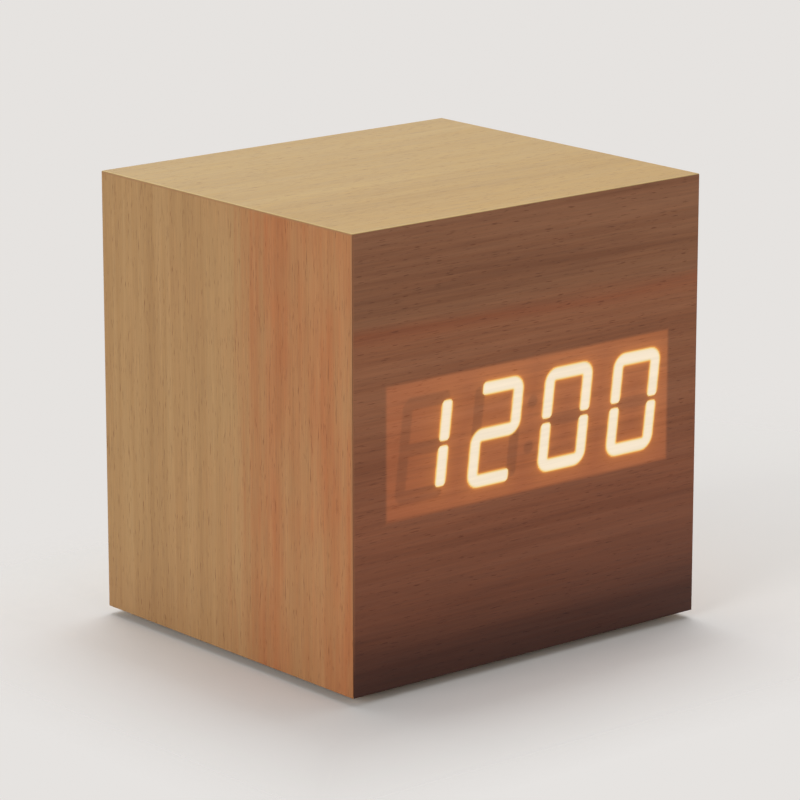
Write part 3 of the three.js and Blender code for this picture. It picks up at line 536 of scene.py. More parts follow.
def piece(name, mesh, body, slot, *nodes, location=(0.0, 0.0, 0.0), turn=0.0):
    """A piece that rides on a body, takes its finish from a slot and stands for CAD nodes."""
    made = bpy.data.objects.new(name, mesh)
    made.location = location
    made.rotation_euler.z = turn
    bpy.context.scene.collection.objects.link(made)
    mesh.materials.append(materials[slot])
    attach(made, body)
    if nodes:
        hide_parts(*nodes)
    return made


def settle(made):
    """Puts the effect of an object's modifiers into its mesh."""
    graph = bpy.context.evaluated_depsgraph_get()
    mesh = bpy.data.meshes.new_from_object(made.evaluated_get(graph))
    mesh.name = made.name
    made.modifiers.clear()
    made.data = mesh


def flatten_normals(made):
    """Keeps large flat faces flat in shading beside small rounded edges."""
    smooth(made.data)
    weighted = made.modifiers.new("flat_faces", "WEIGHTED_NORMAL")
    weighted.weight = FLAT_WEIGHT
    weighted.keep_sharp = True
    settle(made)


def carve(made, cutter_meshes):
    """Cuts the cutters, which don't touch each other, out of an object."""
    tool = bpy.data.objects.new("carving_tool", join_meshes("carving_tool", cutter_meshes))
    bpy.context.scene.collection.objects.link(tool)
    cut = made.modifiers.new("carve", "BOOLEAN")
    cut.operation = "DIFFERENCE"
    cut.solver = "EXACT"
    cut.object = tool
    settle(made)
    bpy.data.objects.remove(tool)


def band(upper, lower):
    """Faces between two rings with the same number of points."""
    return [[upper[i - 1], upper[i], lower[i], lower[i - 1]] for i in range(len(upper))]


def grid_faces(columns, rows):
    """Faces between the points of a grid, which are numbered row by row."""
    starts = [row * columns + column for row in range(rows - 1) for column in range(columns - 1)]
    return [[first, first + 1, first + 1 + columns, first + columns] for first in starts]


def grid_rim(columns, rows):
    """The (column, row) pairs once round the edge of a grid."""
    rim = [(column, 0) for column in range(columns - 1)]
    rim += [(columns - 1, row) for row in range(rows - 1)]
    rim += [(column, rows - 1) for column in range(columns - 1, 0, -1)]
    rim += [(0, row) for row in range(rows - 1, 0, -1)]
    return rim


def edge_inset(depth, is_mitred):
    """How far a board's edge draws in at a depth below its face."""
    inset = 0.0
    if depth < EDGE_RADIUS:
        inset = EDGE_RADIUS - math.sqrt(EDGE_RADIUS ** 2 - (EDGE_RADIUS - depth) ** 2)
    return max(inset, depth + SEAM) if is_mitred else inset


def board_mesh(name, low, high, face, thickness, mitred, lines=((), ())):
    """A board with rounded edges behind one face of a box, such as -Y. mitred says which of its four sides
    (low and high along its first axis, then its second) are mitred; lines are the grid lines of its face."""
    normal = AXES.index(face[1])
    axes = [axis for axis in range(3) if axis != normal]
    inward = 1 if face[0] == "-" else -1
    outer = low[normal] if face[0] == "-" else high[normal]
    columns, rows = [len(numbers) + 2 for numbers in lines]

    def along(side, index, count, depth):
        if index == 0:
            return low[axes[side]] + edge_inset(depth, mitred[2 * side])
        if index == count - 1:
            return high[axes[side]] - edge_inset(depth, mitred[2 * side + 1])
        return lines[side][index - 1]

    def at(column, row, depth):
        point = [along(0, column, columns, depth), along(1, row, rows, depth)]
        point.insert(normal, outer + inward * depth)
        return point

    points = [at(column, row, 0.0) for row in range(rows) for column in range(columns)]
    faces = grid_faces(columns, rows)
    # Marks the points of the rounded edges, which take the painted edge light
    painted_edge = [0.0] * len(points)
    rim = grid_rim(columns, rows)
    ring = [row * columns + column for column, row in rim]
    rounded = [EDGE_RADIUS * (1 - math.cos(angle)) for angle in QUARTER_TURN]
    for depth in (*rounded[1:], thickness):
        lower = range(len(points), len(points) + len(rim))
        points += [at(column, row, depth) for column, row in rim]
        painted_edge += [1.0 if depth < EDGE_RADIUS else 0.0] * len(rim)
        faces += band(ring, lower)
        ring = lower
    faces.append(ring)
    mesh = mesh_of(name, points, faces)
    store(mesh, "painted_edge_light", painted_edge)
    return mesh


def filleted(corners, steps=ARC_STEPS):
    """A path of corners (x, y) or, where the corner is rounded, (x, y, radius)."""
    spots = [Vector(corner[:2]) for corner in corners]
    path = []
    for i, here in enumerate(spots):
        if len(corners[i]) == 2:
            path.append(tuple(here))
            continue
        radius = corners[i][2]
        back = (spots[i - 1] - here).normalized()
        ahead = (spots[i + 1] - here).normalized()
        half = back.angle(ahead) / 2
        middle = here + (back + ahead).normalized() * (radius / math.sin(half))
        start = (here + back * (radius / math.tan(half)) - middle).normalized()
        end = (here + ahead * (radius / math.tan(half)) - middle).normalized()
        for step in range(steps + 1):
            path.append(tuple(middle + start.slerp(end, step / steps) * radius))
    return path


def lathe_mesh(name, profile, sides=ROUND_SIDES, is_ring=False):
    """A solid turned about Z from (radius, height) pairs that run from axis to axis, or close to a ring."""
    points = []
    rings = []
    faces = []
    for radius, height in profile:
        if radius < ON_AXIS:
            rings.append([len(points)] * sides)
            points.append((0.0, 0.0, height))
            continue
        rings.append([len(points) + i for i in range(sides)])
        for i in range(sides):
            angle = 2 * math.pi * i / sides
            points.append((radius * math.cos(angle), radius * math.sin(angle), height))
    if is_ring:
        rings.append(rings[0])
    for below, above in zip(rings, rings[1:]):
        for corners in band(below, above):
            face = list(dict.fromkeys(corners))
            if len(face) > 2:
                faces.append(face)
    return mesh_of(name, points, faces)


def stacked_mesh(name, levels):
    """A solid of stacked rectangles; levels are (half width, half depth, height)."""
    points = [(x * wide, y * deep, height) for wide, deep, height in levels for x, y in SQUARE]
    rings = [range(first, first + 4) for first in range(0, len(points), 4)]
    faces = [rings[0], rings[-1]]
    for below, above in zip(rings, rings[1:]):
        faces += band(below, above)
    return mesh_of(name, points, faces)


def turned_to_back(mesh, middle, y, spin=0.0):
    """A turned mesh moved to a place in the back, its axis along +Y."""
    move = Matrix.Translation(Vector((middle.x, y, middle.z)) * MM)
    mesh.transform(move @ OUT_OF_BACK @ Matrix.Rotation(spin, 4, "Z"))
    return mesh


# Display

# Digits and their light, in millimetres
DISPLAY_TEXT = "1200"
DIGIT_PITCH = 12.4
SPAN_X = 6.8
SPAN_Y = 12.4
STROKE = 1.8
SLANT = math.tan(math.radians(6.8))
MIDDLE_GAP = 0.3
TIP_GAP = 0.45
CORNER_RADIUS = 1.1
CORNER_STEPS = 8
DIGIT_PROUD = 0.02
DIGIT_SUNK = 0.1
PATH_STEP = 0.35
TIP_WIDTH = 0.68
TIP_TAPER = 0.4
TIP_RIM = 0.05
CORE_DEPTH = 0.5
WINDOW_GROW = 0.15
WINDOW_SOFT = 0.3
UNLIT_LENGTH = 0.86
UNLIT_FROM = STROKE / 2 + 0.15
UNLIT_TO = STROKE / 2 - 0.25
HALO_REACH = 0.26
BLOOM_REACH = 2.4
FAR_OFF = 99.0
GRID_STEP = 0.25
GRID_MARGIN = 1.6

# Places across half a stroke, as shares of its half width
HALF_SHARES = (0.3, 0.56, 0.74, 0.88, 1.0)
STROKE_SHARES = [-share for share in reversed(HALF_SHARES)] + [0.0, *HALF_SHARES]

SIDE = SPAN_X / 2
STOREY = SPAN_Y / 2
SEGMENTS = {
    "a": ((-SIDE, STOREY), (SIDE, STOREY)),
    "b": ((SIDE, STOREY), (SIDE, 0.0)),
    "c": ((SIDE, 0.0), (SIDE, -STOREY)),
    "d": ((-SIDE, -STOREY), (SIDE, -STOREY)),
    "e": ((-SIDE, 0.0), (-SIDE, -STOREY)),
    "f": ((-SIDE, STOREY), (-SIDE, 0.0)),
    "g": ((-SIDE, 0.0), (SIDE, 0.0)),
}
LIT = {"0": "abcdef", "1": "bc", "2": "abged"}
STROKES = {
    "0": [
        [(-SIDE, MIDDLE_GAP), (-SIDE, STOREY), (SIDE, STOREY), (SIDE, MIDDLE_GAP)],
        [(-SIDE, -MIDDLE_GAP), (-SIDE, -STOREY), (SIDE, -STOREY), (SIDE, -MIDDLE_GAP)],
    ],
    "1": [
        [(SIDE, STOREY - TIP_GAP), (SIDE, MIDDLE_GAP)],
        [(SIDE, -MIDDLE_GAP), (SIDE, TIP_GAP - STOREY)],
    ],
    "2": [
        [
            (TIP_GAP - SIDE, STOREY), (SIDE, STOREY), (SIDE, 0.0),
            (-SIDE, 0.0), (-SIDE, -STOREY), (SIDE - TIP_GAP, -STOREY),
        ],
    ],
}

film_box = Box("diffuser_film")
display_z = film_box.middle.z
window_half = (film_box.high.x + WINDOW_GROW, film_box.size.z / 2 + WINDOW_GROW)


def digit_middle(index):
    return (index - (len(DISPLAY_TEXT) - 1) / 2) * DIGIT_PITCH


def smoothstep(low, high, value):
    share = np.clip((value - low) / (high - low), 0.0, 1.0)
    return share * share * (3 - 2 * share)


def distance_to(start, end, x, z):
    """Distance of points from a line between two places."""
    along_x, along_z = end[0] - start[0], end[1] - start[1]
    share = ((x - start[0]) * along_x + (z - start[1]) * along_z) / (along_x ** 2 + along_z ** 2)
    share = np.clip(share, 0.0, 1.0)
    return np.hypot(x - start[0] - share * along_x, z - start[1] - share * along_z)


def stroke_path(corners):
    """The middle line of a lit stroke, with rounded corners."""
    first, *turns, last = corners
    rounded = [first, *[(x, z, CORNER_RADIUS) for x, z in turns], last]
    return [Vector(place) for place in filleted(rounded, CORNER_STEPS)]


def drawn_in(path):
    """A path with its free ends drawn in, so that a round end there stays inside the flat one."""
    first = (path[1] - path[0]).normalized() * STROKE / 2
    last = (path[-2] - path[-1]).normalized() * STROKE / 2
    return [path[0] + first, *path[1:-1], path[-1] + last]


def unlit_segment(start, end):
    """The ends of a dark segment's middle line, each drawn in a little."""
    start, end = np.array(start), np.array(end)
    middle = (start + end) / 2
    return [middle + (tip - middle) * UNLIT_LENGTH for tip in (start, end)]


def display_light(mesh):
    """Stores where the front shows the window, its unlit segments and the glow round the lit ones."""
    count = len(mesh.vertices)
    flat = np.zeros(count * 3)
    mesh.vertices.foreach_get("co", flat)
    x, y, z = (flat.reshape(-1, 3) / MM).T
    z = z - display_z
    upright_x = x - z * SLANT
    lit_reach = np.full(count, FAR_OFF)
    unlit_reach = np.full(count, FAR_OFF)
    for index, character in enumerate(DISPLAY_TEXT):
        digit_x = upright_x - digit_middle(index)
        for name, ends in SEGMENTS.items():
            if name not in LIT[character]:
                unlit_reach = np.minimum(unlit_reach, distance_to(*unlit_segment(*ends), digit_x, z))
        for corners in STROKES[character]:
            spots = drawn_in(stroke_path(corners))
            for start, end in zip(spots, spots[1:]):
                lit_reach = np.minimum(lit_reach, distance_to(start, end, digit_x, z))
    for dot in (-STOREY / 2, STOREY / 2):
        unlit_reach = np.minimum(unlit_reach, np.hypot(upright_x, z - dot))
    inside = np.minimum(window_half[0] - np.abs(x), window_half[1] - np.abs(z))
    away = np.maximum(lit_reach - STROKE / 2, 0.0)
    outer = y < case_low.y + EDGE_RADIUS / 2
    store(mesh, "window", smoothstep(-WINDOW_SOFT, WINDOW_SOFT, inside) * outer)
    store(mesh, "unlit", smoothstep(UNLIT_FROM, UNLIT_TO, unlit_reach) * outer)
    store(mesh, "halo", np.exp(-away / HALO_REACH) * outer)
    store(mesh, "bloom", np.exp(-away / BLOOM_REACH) * outer)


def even_path(rough):
    """A path with further points, so that no step is much longer than PATH_STEP."""
    path = [rough[0]]
    for place in rough[1:]:
        start = path[-1]
        step = place - start
        parts = max(1, round(step.length / PATH_STEP))
        path += [start + step * (i + 1) / parts for i in range(parts)]
    return path


def stroke_mesh(digit_x, corners):
    """One lit stroke of a digit: a thin bar along rounded corners, brightest along its middle."""
    path = even_path(stroke_path(corners))
    total = sum((b - a).length for a, b in zip(path, path[1:]))
    half = STROKE / 2
    points = []
    core = []
    walked = 0.0
    for i, place in enumerate(path):
        if i:
            walked += (place - path[i - 1]).length
        ahead = (path[min(i + 1, len(path) - 1)] - path[max(i - 1, 0)]).normalized()
        across = Vector((-ahead.y, ahead.x))
        from_end = min(walked, total - walked)
        taper = TIP_WIDTH + (1 - TIP_WIDTH) * float(smoothstep(0.0, TIP_TAPER, from_end))
        for share in STROKE_SHARES:
            x, z = place + across * (share * half * taper)
            points.append((digit_x + x + z * SLANT, case_low.y - DIGIT_PROUD, display_z + z))
            rim = min(half * (1 - abs(share)), from_end + TIP_RIM)
            core.append(float(smoothstep(0.0, CORE_DEPTH, rim)))
    count = len(points)
    points += [(x, y + DIGIT_PROUD + DIGIT_SUNK, z) for x, y, z in points]
    columns = len(STROKE_SHARES)
    front = grid_faces(columns, len(path))
    rim = [row * columns + column for column, row in grid_rim(columns, len(path))]
    back = [[corner + count for corner in face] for face in front]
    mesh = mesh_of("stroke", points, front + back + band(rim, [corner + count for corner in rim]))
    store(mesh, "core", core + core)
    return mesh


def add_digits():
    """One piece for each digit, of all its lit strokes."""
    for index, character in enumerate(DISPLAY_TEXT):
        name = f"lit_digit_{index + 1}"
        strokes = [stroke_mesh(digit_middle(index), corners) for corners in STROKES[character]]
        mesh = join_meshes(name, strokes)
        smooth(mesh)
        piece(name, mesh, "case", "lit_display")


# Case

# Which sides of a board are mitred, in the order that board_mesh names
ALL_MITRED = (True, True, True, True)
SIDE_MITRED = (True, False, True, True)
TOP_MITRED = (True, True, True, False)
NONE_MITRED = (False, False, False, False)

# How much of the red blush each side shows
LEFT_ROSY = 1.0
RIGHT_ROSY = 0.35


def grid_lines(middle, half):
    count = round(2 * half / GRID_STEP)
    return [middle - half + 2 * half * i / count for i in range(count + 1)]


def add_front():
    """The front board, with grid lines round the display that carry its light."""
    lines = (
        grid_lines(0.0, window_half[0] + GRID_MARGIN),
        grid_lines(display_z, window_half[1] + GRID_MARGIN),
    )
    mesh = board_mesh("front_veneer_board", case_low, case_high, "-Y", board_depth, ALL_MITRED, lines)
    display_light(mesh)
    flatten_normals(piece("front_veneer_board", mesh, "case", "front_veneer", "front_panel"))


def add_sides():
    for side, face, rosy in (("left", "-X", LEFT_ROSY), ("right", "+X", RIGHT_ROSY)):
        name = f"{side}_veneer_board"
        mesh = board_mesh(name, case_low, case_high, face, board_depth, SIDE_MITRED)
        store(mesh, "rosy", [rosy] * len(mesh.vertices))
        flatten_normals(piece(name, mesh, "case", "side_veneer", f"{side}_side_board"))


def add_top():
    mesh = board_mesh("top_veneer_board", case_low, case_high, "+Z", board_depth, TOP_MITRED)
    flatten_normals(piece("top_veneer_board", mesh, "case", "pale_veneer", "top_board"))


# Back

BUTTONS = ("set", "down", "up")
BACK_SCREWS = [f"{row}_{side}_back_screw" for row in ("lower", "upper") for side in ("left", "right")]

# Holes in the back board, in millimetres; its outer face is at height 0
CUTTER_OVER = 1.0
CUTTER_FOOT = -back_box.size.y - CUTTER_OVER
HOLE_LIP = 0.2
CAP_HOLE = 3.2
FINGER_RADIUS = 4.7
FINGER_DEPTH = 1.0
FINGER_FLARE = 0.25
JACK_HOLE = 4.6
SOUND_RADIUS = 0.9
SOUND_RING = 3.0
SOUND_HOLES = 6
SHANK_HOLE = 1.4
SINK_RADIUS = 2.55
SINK_TOP = 0.2
SINK_DEPTH = 1.5


def hole_cutter(radius):
    """Cutter for a round hole whose mouth, at height 0, is rounded over."""
    turns = [(1 - math.cos(angle), math.sin(angle) - 1) for angle in QUARTER_TURN]
    mouth = [(radius + HOLE_LIP * out, HOLE_LIP * up) for out, up in turns]
    top = [(radius + HOLE_LIP, CUTTER_OVER), (0.0, CUTTER_OVER)]
    return lathe_mesh("hole_cutter", [(0.0, CUTTER_FOOT), (radius, CUTTER_FOOT), *mouth, *top], HOLE_SIDES)


def button_cutter():
    """Cutter for a button's hole and the shallow dish round it."""
    corners = [
        (0.0, CUTTER_FOOT),
        (CAP_HOLE, CUTTER_FOOT),
        (CAP_HOLE, -FINGER_DEPTH, 0.15),
        (FINGER_RADIUS, -FINGER_DEPTH, 0.45),
        (FINGER_RADIUS + FINGER_FLARE, 0.0),
        (FINGER_RADIUS + FINGER_FLARE, CUTTER_OVER),
        (0.0, CUTTER_OVER),
    ]
    return lathe_mesh("button_cutter", filleted(corners), DISH_SIDES)


def screw_cutter():
    """Cutter for a countersunk hole."""
    corners = [
        (0.0, CUTTER_FOOT),
        (SHANK_HOLE, CUTTER_FOOT),
        (SHANK_HOLE, -SINK_DEPTH),
        (SINK_RADIUS, -SINK_TOP),
        (SINK_RADIUS, CUTTER_OVER),
        (0.0, CUTTER_OVER),
    ]
    return lathe_mesh("screw_cutter", corners, HOLE_SIDES)


def add_back():
    """The removable back board, with its holes."""
    mesh = board_mesh("back_cover", back_box.low, back_box.high, "+Y", back_box.size.y, NONE_MITRED)
    made = piece("back_cover", mesh, "case", "pale_veneer", "back_board")
    holes = [(button_cutter(), Box(f"{button}_button").middle) for button in BUTTONS]
    holes.append((hole_cutter(JACK_HOLE), Box("power_jack").middle))
    sound = Box("buzzer").middle
    angles = [2 * math.pi * i / SOUND_HOLES for i in range(SOUND_HOLES)]
    ring = [sound + Vector((math.cos(angle), 0.0, math.sin(angle))) * SOUND_RING for angle in angles]
    holes += [(hole_cutter(SOUND_RADIUS), middle) for middle in (sound, *ring, Box("microphone").middle)]
    holes += [(screw_cutter(), Box(screw).middle) for screw in BACK_SCREWS]
    carve(made, [turned_to_back(cutter, middle, back_box.high.y) for cutter, middle in holes])
    flatten_normals(made)


# Buttons and their signs, in millimetres
CAP_RADIUS = 2.9
CAP_FLANGE = 1.0
CAP_FILLET = 0.33
CAP_DISH = 0.22
CAP_RIM = 1.1
CAP_RIM_SHARE = 0.75
SIGN_REACH = 0.95
SIGN_FOOT = 0.6
SIGN_BORE = 0.62
SIGN_ROUND = 0.14
SIGN_THICKNESS = 0.1
SIGN_PROUD = 0.06


def triangle_sign(name, turn):
    """A flat triangle that points up (turn 1) or down (turn -1), its face at height 0."""
    foot = -SIGN_FOOT * turn
    left, right, tip = (-SIGN_REACH, foot), (SIGN_REACH, foot), (0.0, SIGN_REACH * turn)
    rounded = [(*corner, SIGN_ROUND) for corner in (left, right, tip)]
    path = filleted([tip, *rounded, left], FEW_STEPS)[1:-1]
    points = [(x, y, z) for z in (0.0, -SIGN_THICKNESS) for x, y in path]
    face = range(len(path))
    back = range(len(path), len(points))
    return mesh_of(name, points, [face, back, *band(face, back)])


def ring_sign(name):
    """A flat ring, its face at height 0."""
    radii = (SIGN_BORE, SIGN_REACH, SIGN_REACH, SIGN_BORE)
    heights = (-SIGN_THICKNESS, -SIGN_THICKNESS, 0.0, 0.0)
    return lathe_mesh(name, list(zip(radii, heights)), HOLE_SIDES, is_ring=True)


def add_buttons():
    """Dished caps with a flange behind the back board, each with a small sign."""
    signs = {
        "set": ring_sign("set_sign"),
        "down": triangle_sign("down_sign", -1),
        "up": triangle_sign("up_sign", 1),
    }
    for name in BUTTONS:
        box = Box(f"{name}_button")
        rise = box.size.y
        flange = box.size.x / 2
        corners = [
            (0.0, 0.0),
            (flange, 0.0, 0.15),
            (flange, CAP_FLANGE, 0.15),
            (CAP_RADIUS, CAP_FLANGE, 0.2),
            (CAP_RADIUS, rise, CAP_FILLET),
            (CAP_RADIUS - CAP_RIM, rise - CAP_DISH * CAP_RIM_SHARE, 0.8),
            (0.0, rise - CAP_DISH),
        ]
        cap = turned_to_back(lathe_mesh(f"{name}_cap", filleted(corners)), box.middle, box.low.y)
        smooth(cap)
        piece(f"{name}_cap", cap, f"{name}_key", "button", f"{name}_button")
        sign = turned_to_back(signs[name], box.middle, box.high.y - CAP_DISH + SIGN_PROUD, math.pi)
        smooth(sign)
        piece(f"{name}_sign", sign, f"{name}_key", "white_plastic")


# Power socket, in millimetres
JACK_RADIUS = 4.3
JACK_BORE = 3.2
JACK_FLOOR = 1.0
JACK_BASE = 5.3
BASE_EASE = 0.3
BASE_FLOOR = 0.5
BASE_BORE = JACK_BORE + 0.5
PIN_ROUND = 0.55
PIN_SLOT = 0.12
PIN_SLOT_DEPTH = 2.6


def add_socket():
    """The barrel socket: a round nose with its bore, in a square base."""
    box = Box("power_jack")
    rise = box.size.y
    corners = [
        (0.0, 0.0),
        (JACK_RADIUS, 0.0),
        (JACK_RADIUS, rise, 0.3),
        (JACK_BORE, rise, 0.35),
        (JACK_BORE, JACK_FLOOR, 0.2),
        (0.0, JACK_FLOOR),
    ]
    nose = turned_to_back(lathe_mesh("power_socket", filleted(corners)), box.middle, box.low.y)
    smooth(nose)
    piece("power_socket", nose, "case", "black_plastic", "power_jack")
    half = box.size.x / 2
    eased = half - BASE_EASE
    sides = (eased, half, half, eased)
    heights = (0.0, BASE_EASE, JACK_BASE - BASE_EASE, JACK_BASE)
    base = stacked_mesh("socket_base", list(zip(sides, sides, heights)))
    made = piece("socket_base", turned_to_back(base, box.middle, box.low.y), "case", "black_plastic")
    top = JACK_BASE + CUTTER_OVER
    profile = [(0.0, BASE_FLOOR), (BASE_BORE, BASE_FLOOR), (BASE_BORE, top), (0.0, top)]
    carve(made, [turned_to_back(lathe_mesh("bore_cutter", profile), box.middle, box.low.y)])
    flatten_normals(made)


def add_socket_pin():
    """The socket's slotted centre pin."""
    box = Box("jack_pin")
    rise = box.size.y
    radius = box.size.x / 2
    corners = [(0.0, 0.0), (radius, 0.0), (radius, rise, radius * PIN_ROUND), (0.0, rise)]
    pin = turned_to_back(lathe_mesh("socket_pin", filleted(corners)), box.middle, box.low.y)
    made = piece("socket_pin", pin, "case", "nickel", "jack_pin")
    reach = radius + CUTTER_OVER
    heights = (rise - PIN_SLOT_DEPTH, rise + CUTTER_OVER)
    slot = stacked_mesh("pin_slot", [(PIN_SLOT, reach, height) for height in heights])
    carve(made, [turned_to_back(slot, box.middle, box.low.y)])
    flatten_normals(made)


# Screws, in millimetres, and how far each one is turned, in radians
CROSS_SHARE = 0.62
CROSS_TAPER = 0.45
CROSS_FLOOR = 0.2
CROSS_MOUTH = 0.32
CROSS_OVER = 0.6
BACK_TIP = (0.5, 0.25, 0.1)
BACK_SHANK = 1.1
BACK_TAPER = 1.4
BACK_CONE = 1.45
BACK_EDGE = 0.28
BACK_EASE = 0.12
BACK_DOME = 0.01
BACK_CROSS_DEPTH = 1.0
BACK_TURNS = (0.35, 1.1, 0.75, 0.1)
TRAY_TIP = (0.3, 0.1, 0.1)
TRAY_SHANK = 0.8
TRAY_TAPER = 0.8
TRAY_HEAD = 1.1
TRAY_EDGE = 0.5
TRAY_DOME = 0.55
TRAY_CROSS_DEPTH = 0.7
TRAY_TURNS = {"front_tray_screw": 0.5, "rear_tray_screw": 1.2}


def screw_piece(name, head, corners, cross_depth):
    """A turned screw with a tapered cross recess, its head upwards and its tip at height 0."""
    mesh = lathe_mesh(name + "_turned", filleted(corners, FEW_STEPS), SCREW_SIDES)
    made = piece(name + "_turned", mesh, "case", "steel", name)
    top = corners[-1][1]
    reach = head * CROSS_SHARE
    for spin in (0.0, math.pi / 2):
        bar = stacked_mesh("cross_bar", [
            (reach * CROSS_TAPER, CROSS_FLOOR, top - cross_depth),
            (reach, CROSS_MOUTH, top + CROSS_OVER),
        ])
        bar.transform(Matrix.Rotation(spin, 4, "Z"))
        carve(made, [bar])
    return made


def add_back_screws():
    """Countersunk screws, each left at its own turn of the driver."""
    for name, spin in zip(BACK_SCREWS, BACK_TURNS):
        box = Box(name)
        rise = box.size.y
        head = box.size.z / 2
        corners = [
            (0.0, 0.0),
            BACK_TIP,
            (BACK_SHANK, BACK_TAPER, 0.3),
            (BACK_SHANK, rise - BACK_CONE, 0.2),
            (head, rise - BACK_EDGE, 0.08),
            (head - BACK_EASE, rise - BACK_EASE, 0.1),
            (head / 2, rise - BACK_DOME, 0.8),
            (0.0, rise),
        ]
        made = screw_piece(name, head, corners, BACK_CROSS_DEPTH)
        turned_to_back(made.data, box.middle, box.low.y, spin)
        flatten_normals(made)


# Underside


def add_tray_screws():
    """Pan head screws in the tray's ears, their heads down."""
    for name, spin in TRAY_TURNS.items():
        box = Box(name)
        rise = box.size.z
        head = box.size.x / 2
        corners = [
            (0.0, 0.0),
            TRAY_TIP,
            (TRAY_SHANK, TRAY_TAPER, 0.2),
            (TRAY_SHANK, rise - TRAY_HEAD, 0.1),
            (head, rise - TRAY_HEAD, 0.08),
            (head, rise - TRAY_EDGE, 0.25),
            (head - TRAY_DOME, rise, 0.5),
            (0.0, rise),
        ]
        made = screw_piece(name, head, corners, TRAY_CROSS_DEPTH)
        turn = Matrix.Rotation(math.pi, 4, "X") @ Matrix.Rotation(spin, 4, "Z")
        made.data.transform(Matrix.Translation(Vector((*box.middle.xy, box.high.z)) * MM) @ turn)
        flatten_normals(made)


# Feet, in millimetres
FEET = [f"{end}_{side}_foot" for end in ("front", "rear") for side in ("left", "right")]
SOLE_RIM = 0.9
SOLE_SLOPE = 0.3
SOLE_DISH = 0.12
FOOT_TAPER = 0.12


def add_feet():
    """Rubber pads with a rounded rim and a shallow dish in the sole."""
    for name in FEET:
        box = Box(name)
        radius = box.size.x / 2
        rise = box.size.z
        corners = [
            (0.0, SOLE_DISH),
            (radius - SOLE_RIM - SOLE_SLOPE, SOLE_DISH, 0.1),
            (radius - SOLE_RIM, 0.0, 0.1),
            (radius, 0.0, 0.3),
            (radius - FOOT_TAPER, rise, 0.12),
            (0.0, rise),
        ]
        mesh = lathe_mesh(name + "_pad", filleted(corners))
        mesh.transform(Matrix.Translation(Vector((*box.middle.xy, box.low.z)) * MM))
        smooth(mesh)
        piece(name + "_pad", mesh, "case", "rubber", name)


# Battery cells, in millimetres
CELLS = (1, 2, 3)
PLATE_INSET = 1.6
CRIMP_INSET = 1.3
CRIMP_DEPTH = 0.2
SHOULDER_DROP = 1.3
SHOULDER_INSET = 0.9
NUB_PLATE_DROP = 1.1
NUB_FOOT_DROP = 0.8
NUB_FOOT = 2.6
NUB_RADIUS = 1.9


def add_cells():
    """Cells with a crimped negative end and a stepped positive one, head to tail."""
    for number in CELLS:
        node = f"battery_cell_{number}"
        box = Box(node)
        half = box.size.x / 2
        radius = box.size.z / 2
        corners = [
            (0.0, -half),
            (radius - PLATE_INSET, -half, 0.15),
            (radius - CRIMP_INSET, CRIMP_DEPTH - half, 0.15),
            (radius, CRIMP_DEPTH - half, 0.45),
            (radius, half - SHOULDER_DROP, 0.5),
            (radius - SHOULDER_INSET, half - NUB_PLATE_DROP, 0.3),
            (NUB_FOOT, half - NUB_PLATE_DROP, 0.2),
            (NUB_RADIUS, half - NUB_FOOT_DROP, 0.1),
            (NUB_RADIUS, half, 0.35),
            (0.0, half),
        ]
        mesh = lathe_mesh(f"cell_{number}", filleted(corners, FEW_STEPS))
        mesh.transform(Matrix.Rotation(math.pi / 2, 4, "Y"))
        smooth(mesh)
        turn = math.pi if box.middle.x < 0 else 0.0
        piece(f"cell_{number}", mesh, "case", "cell_can", node, location=box.middle * MM, turn=turn)


# Rounded edges of pieces that keep their CAD shape: width in millimetres, and the angle in degrees that an
# edge has to turn by
WELD_REACH = 0.002
SOFT_STEPS = 3
ANY_EDGE = 40.0
MITRE_TIP = 100.0
SOFT_EDGES = {
    "battery_tray": [(0.18, ANY_EDGE)],
    "battery_door": [(0.2, ANY_EDGE)],
    "bottom_board": [(0.6, MITRE_TIP), (0.1, ANY_EDGE)],
    "segment_reflector": [(0.1, ANY_EDGE)],
}


def soften_cad_edges():
    for name, edges in SOFT_EDGES.items():
        node = frame["nodes"][name]
        node.modifiers.new("one_skin", "WELD").merge_threshold = WELD_REACH * MM
        for width, angle in edges:
            soft = node.modifiers.new("soft_edges", "BEVEL")
            soft.width = width * MM
            soft.segments = SOFT_STEPS
            soft.limit_method = "ANGLE"
            soft.angle_limit = math.radians(angle)


# Stage, in metres

FLOOR_HALF = 2.0

# Where the floor begins and ends to turn clear to the camera, and to fade for all light
CLEAR_LEFT = (-0.040, -0.068)
CLEAR_ENDS = (0.036, 0.064)
CLEAR_ROUND = (0.05, 0.15)
FADE_ROUND = (0.18, 0.6)

LIGHT_COLOUR = (1.0, 0.99, 0.97)
LIGHT_STRENGTH = 0.30
BACKGROUND = (0.79, 0.767, 0.746)

# Lamps: name, place, width and height, and power in watts
LAMPS = (
    ("overhead", (0.3, 0.36, 1.0), (1.1, 1.1), 8.4),
    ("left", (-1.05, -0.1, 0.38), (0.7, 0.5), 5.9),
    ("front", (0.1, -1.05, 0.4), (0.9, 0.5), 2.4),
    ("rear", (0.4, 1.0, 0.55), (0.9, 0.6), 1.4),
    ("right", (1.0, 0.05, 0.25), (0.7, 0.4), 0.85),
)
LAMP_TARGET = Vector((0.0, 0.0, 0.03))

AZIMUTH = math.radians(-40.0)
ELEVATION = math.radians(14.4)
CAMERA_DISTANCE = 0.576
CAMERA_DROP = 0.001
CAMERA_NEAR = 0.01
CAMERA_LENS = 188.0


def facing(towards):
    """The rotation of a lamp or camera that looks along a direction."""
    return towards.to_track_quat("-Z", "Y").to_euler()


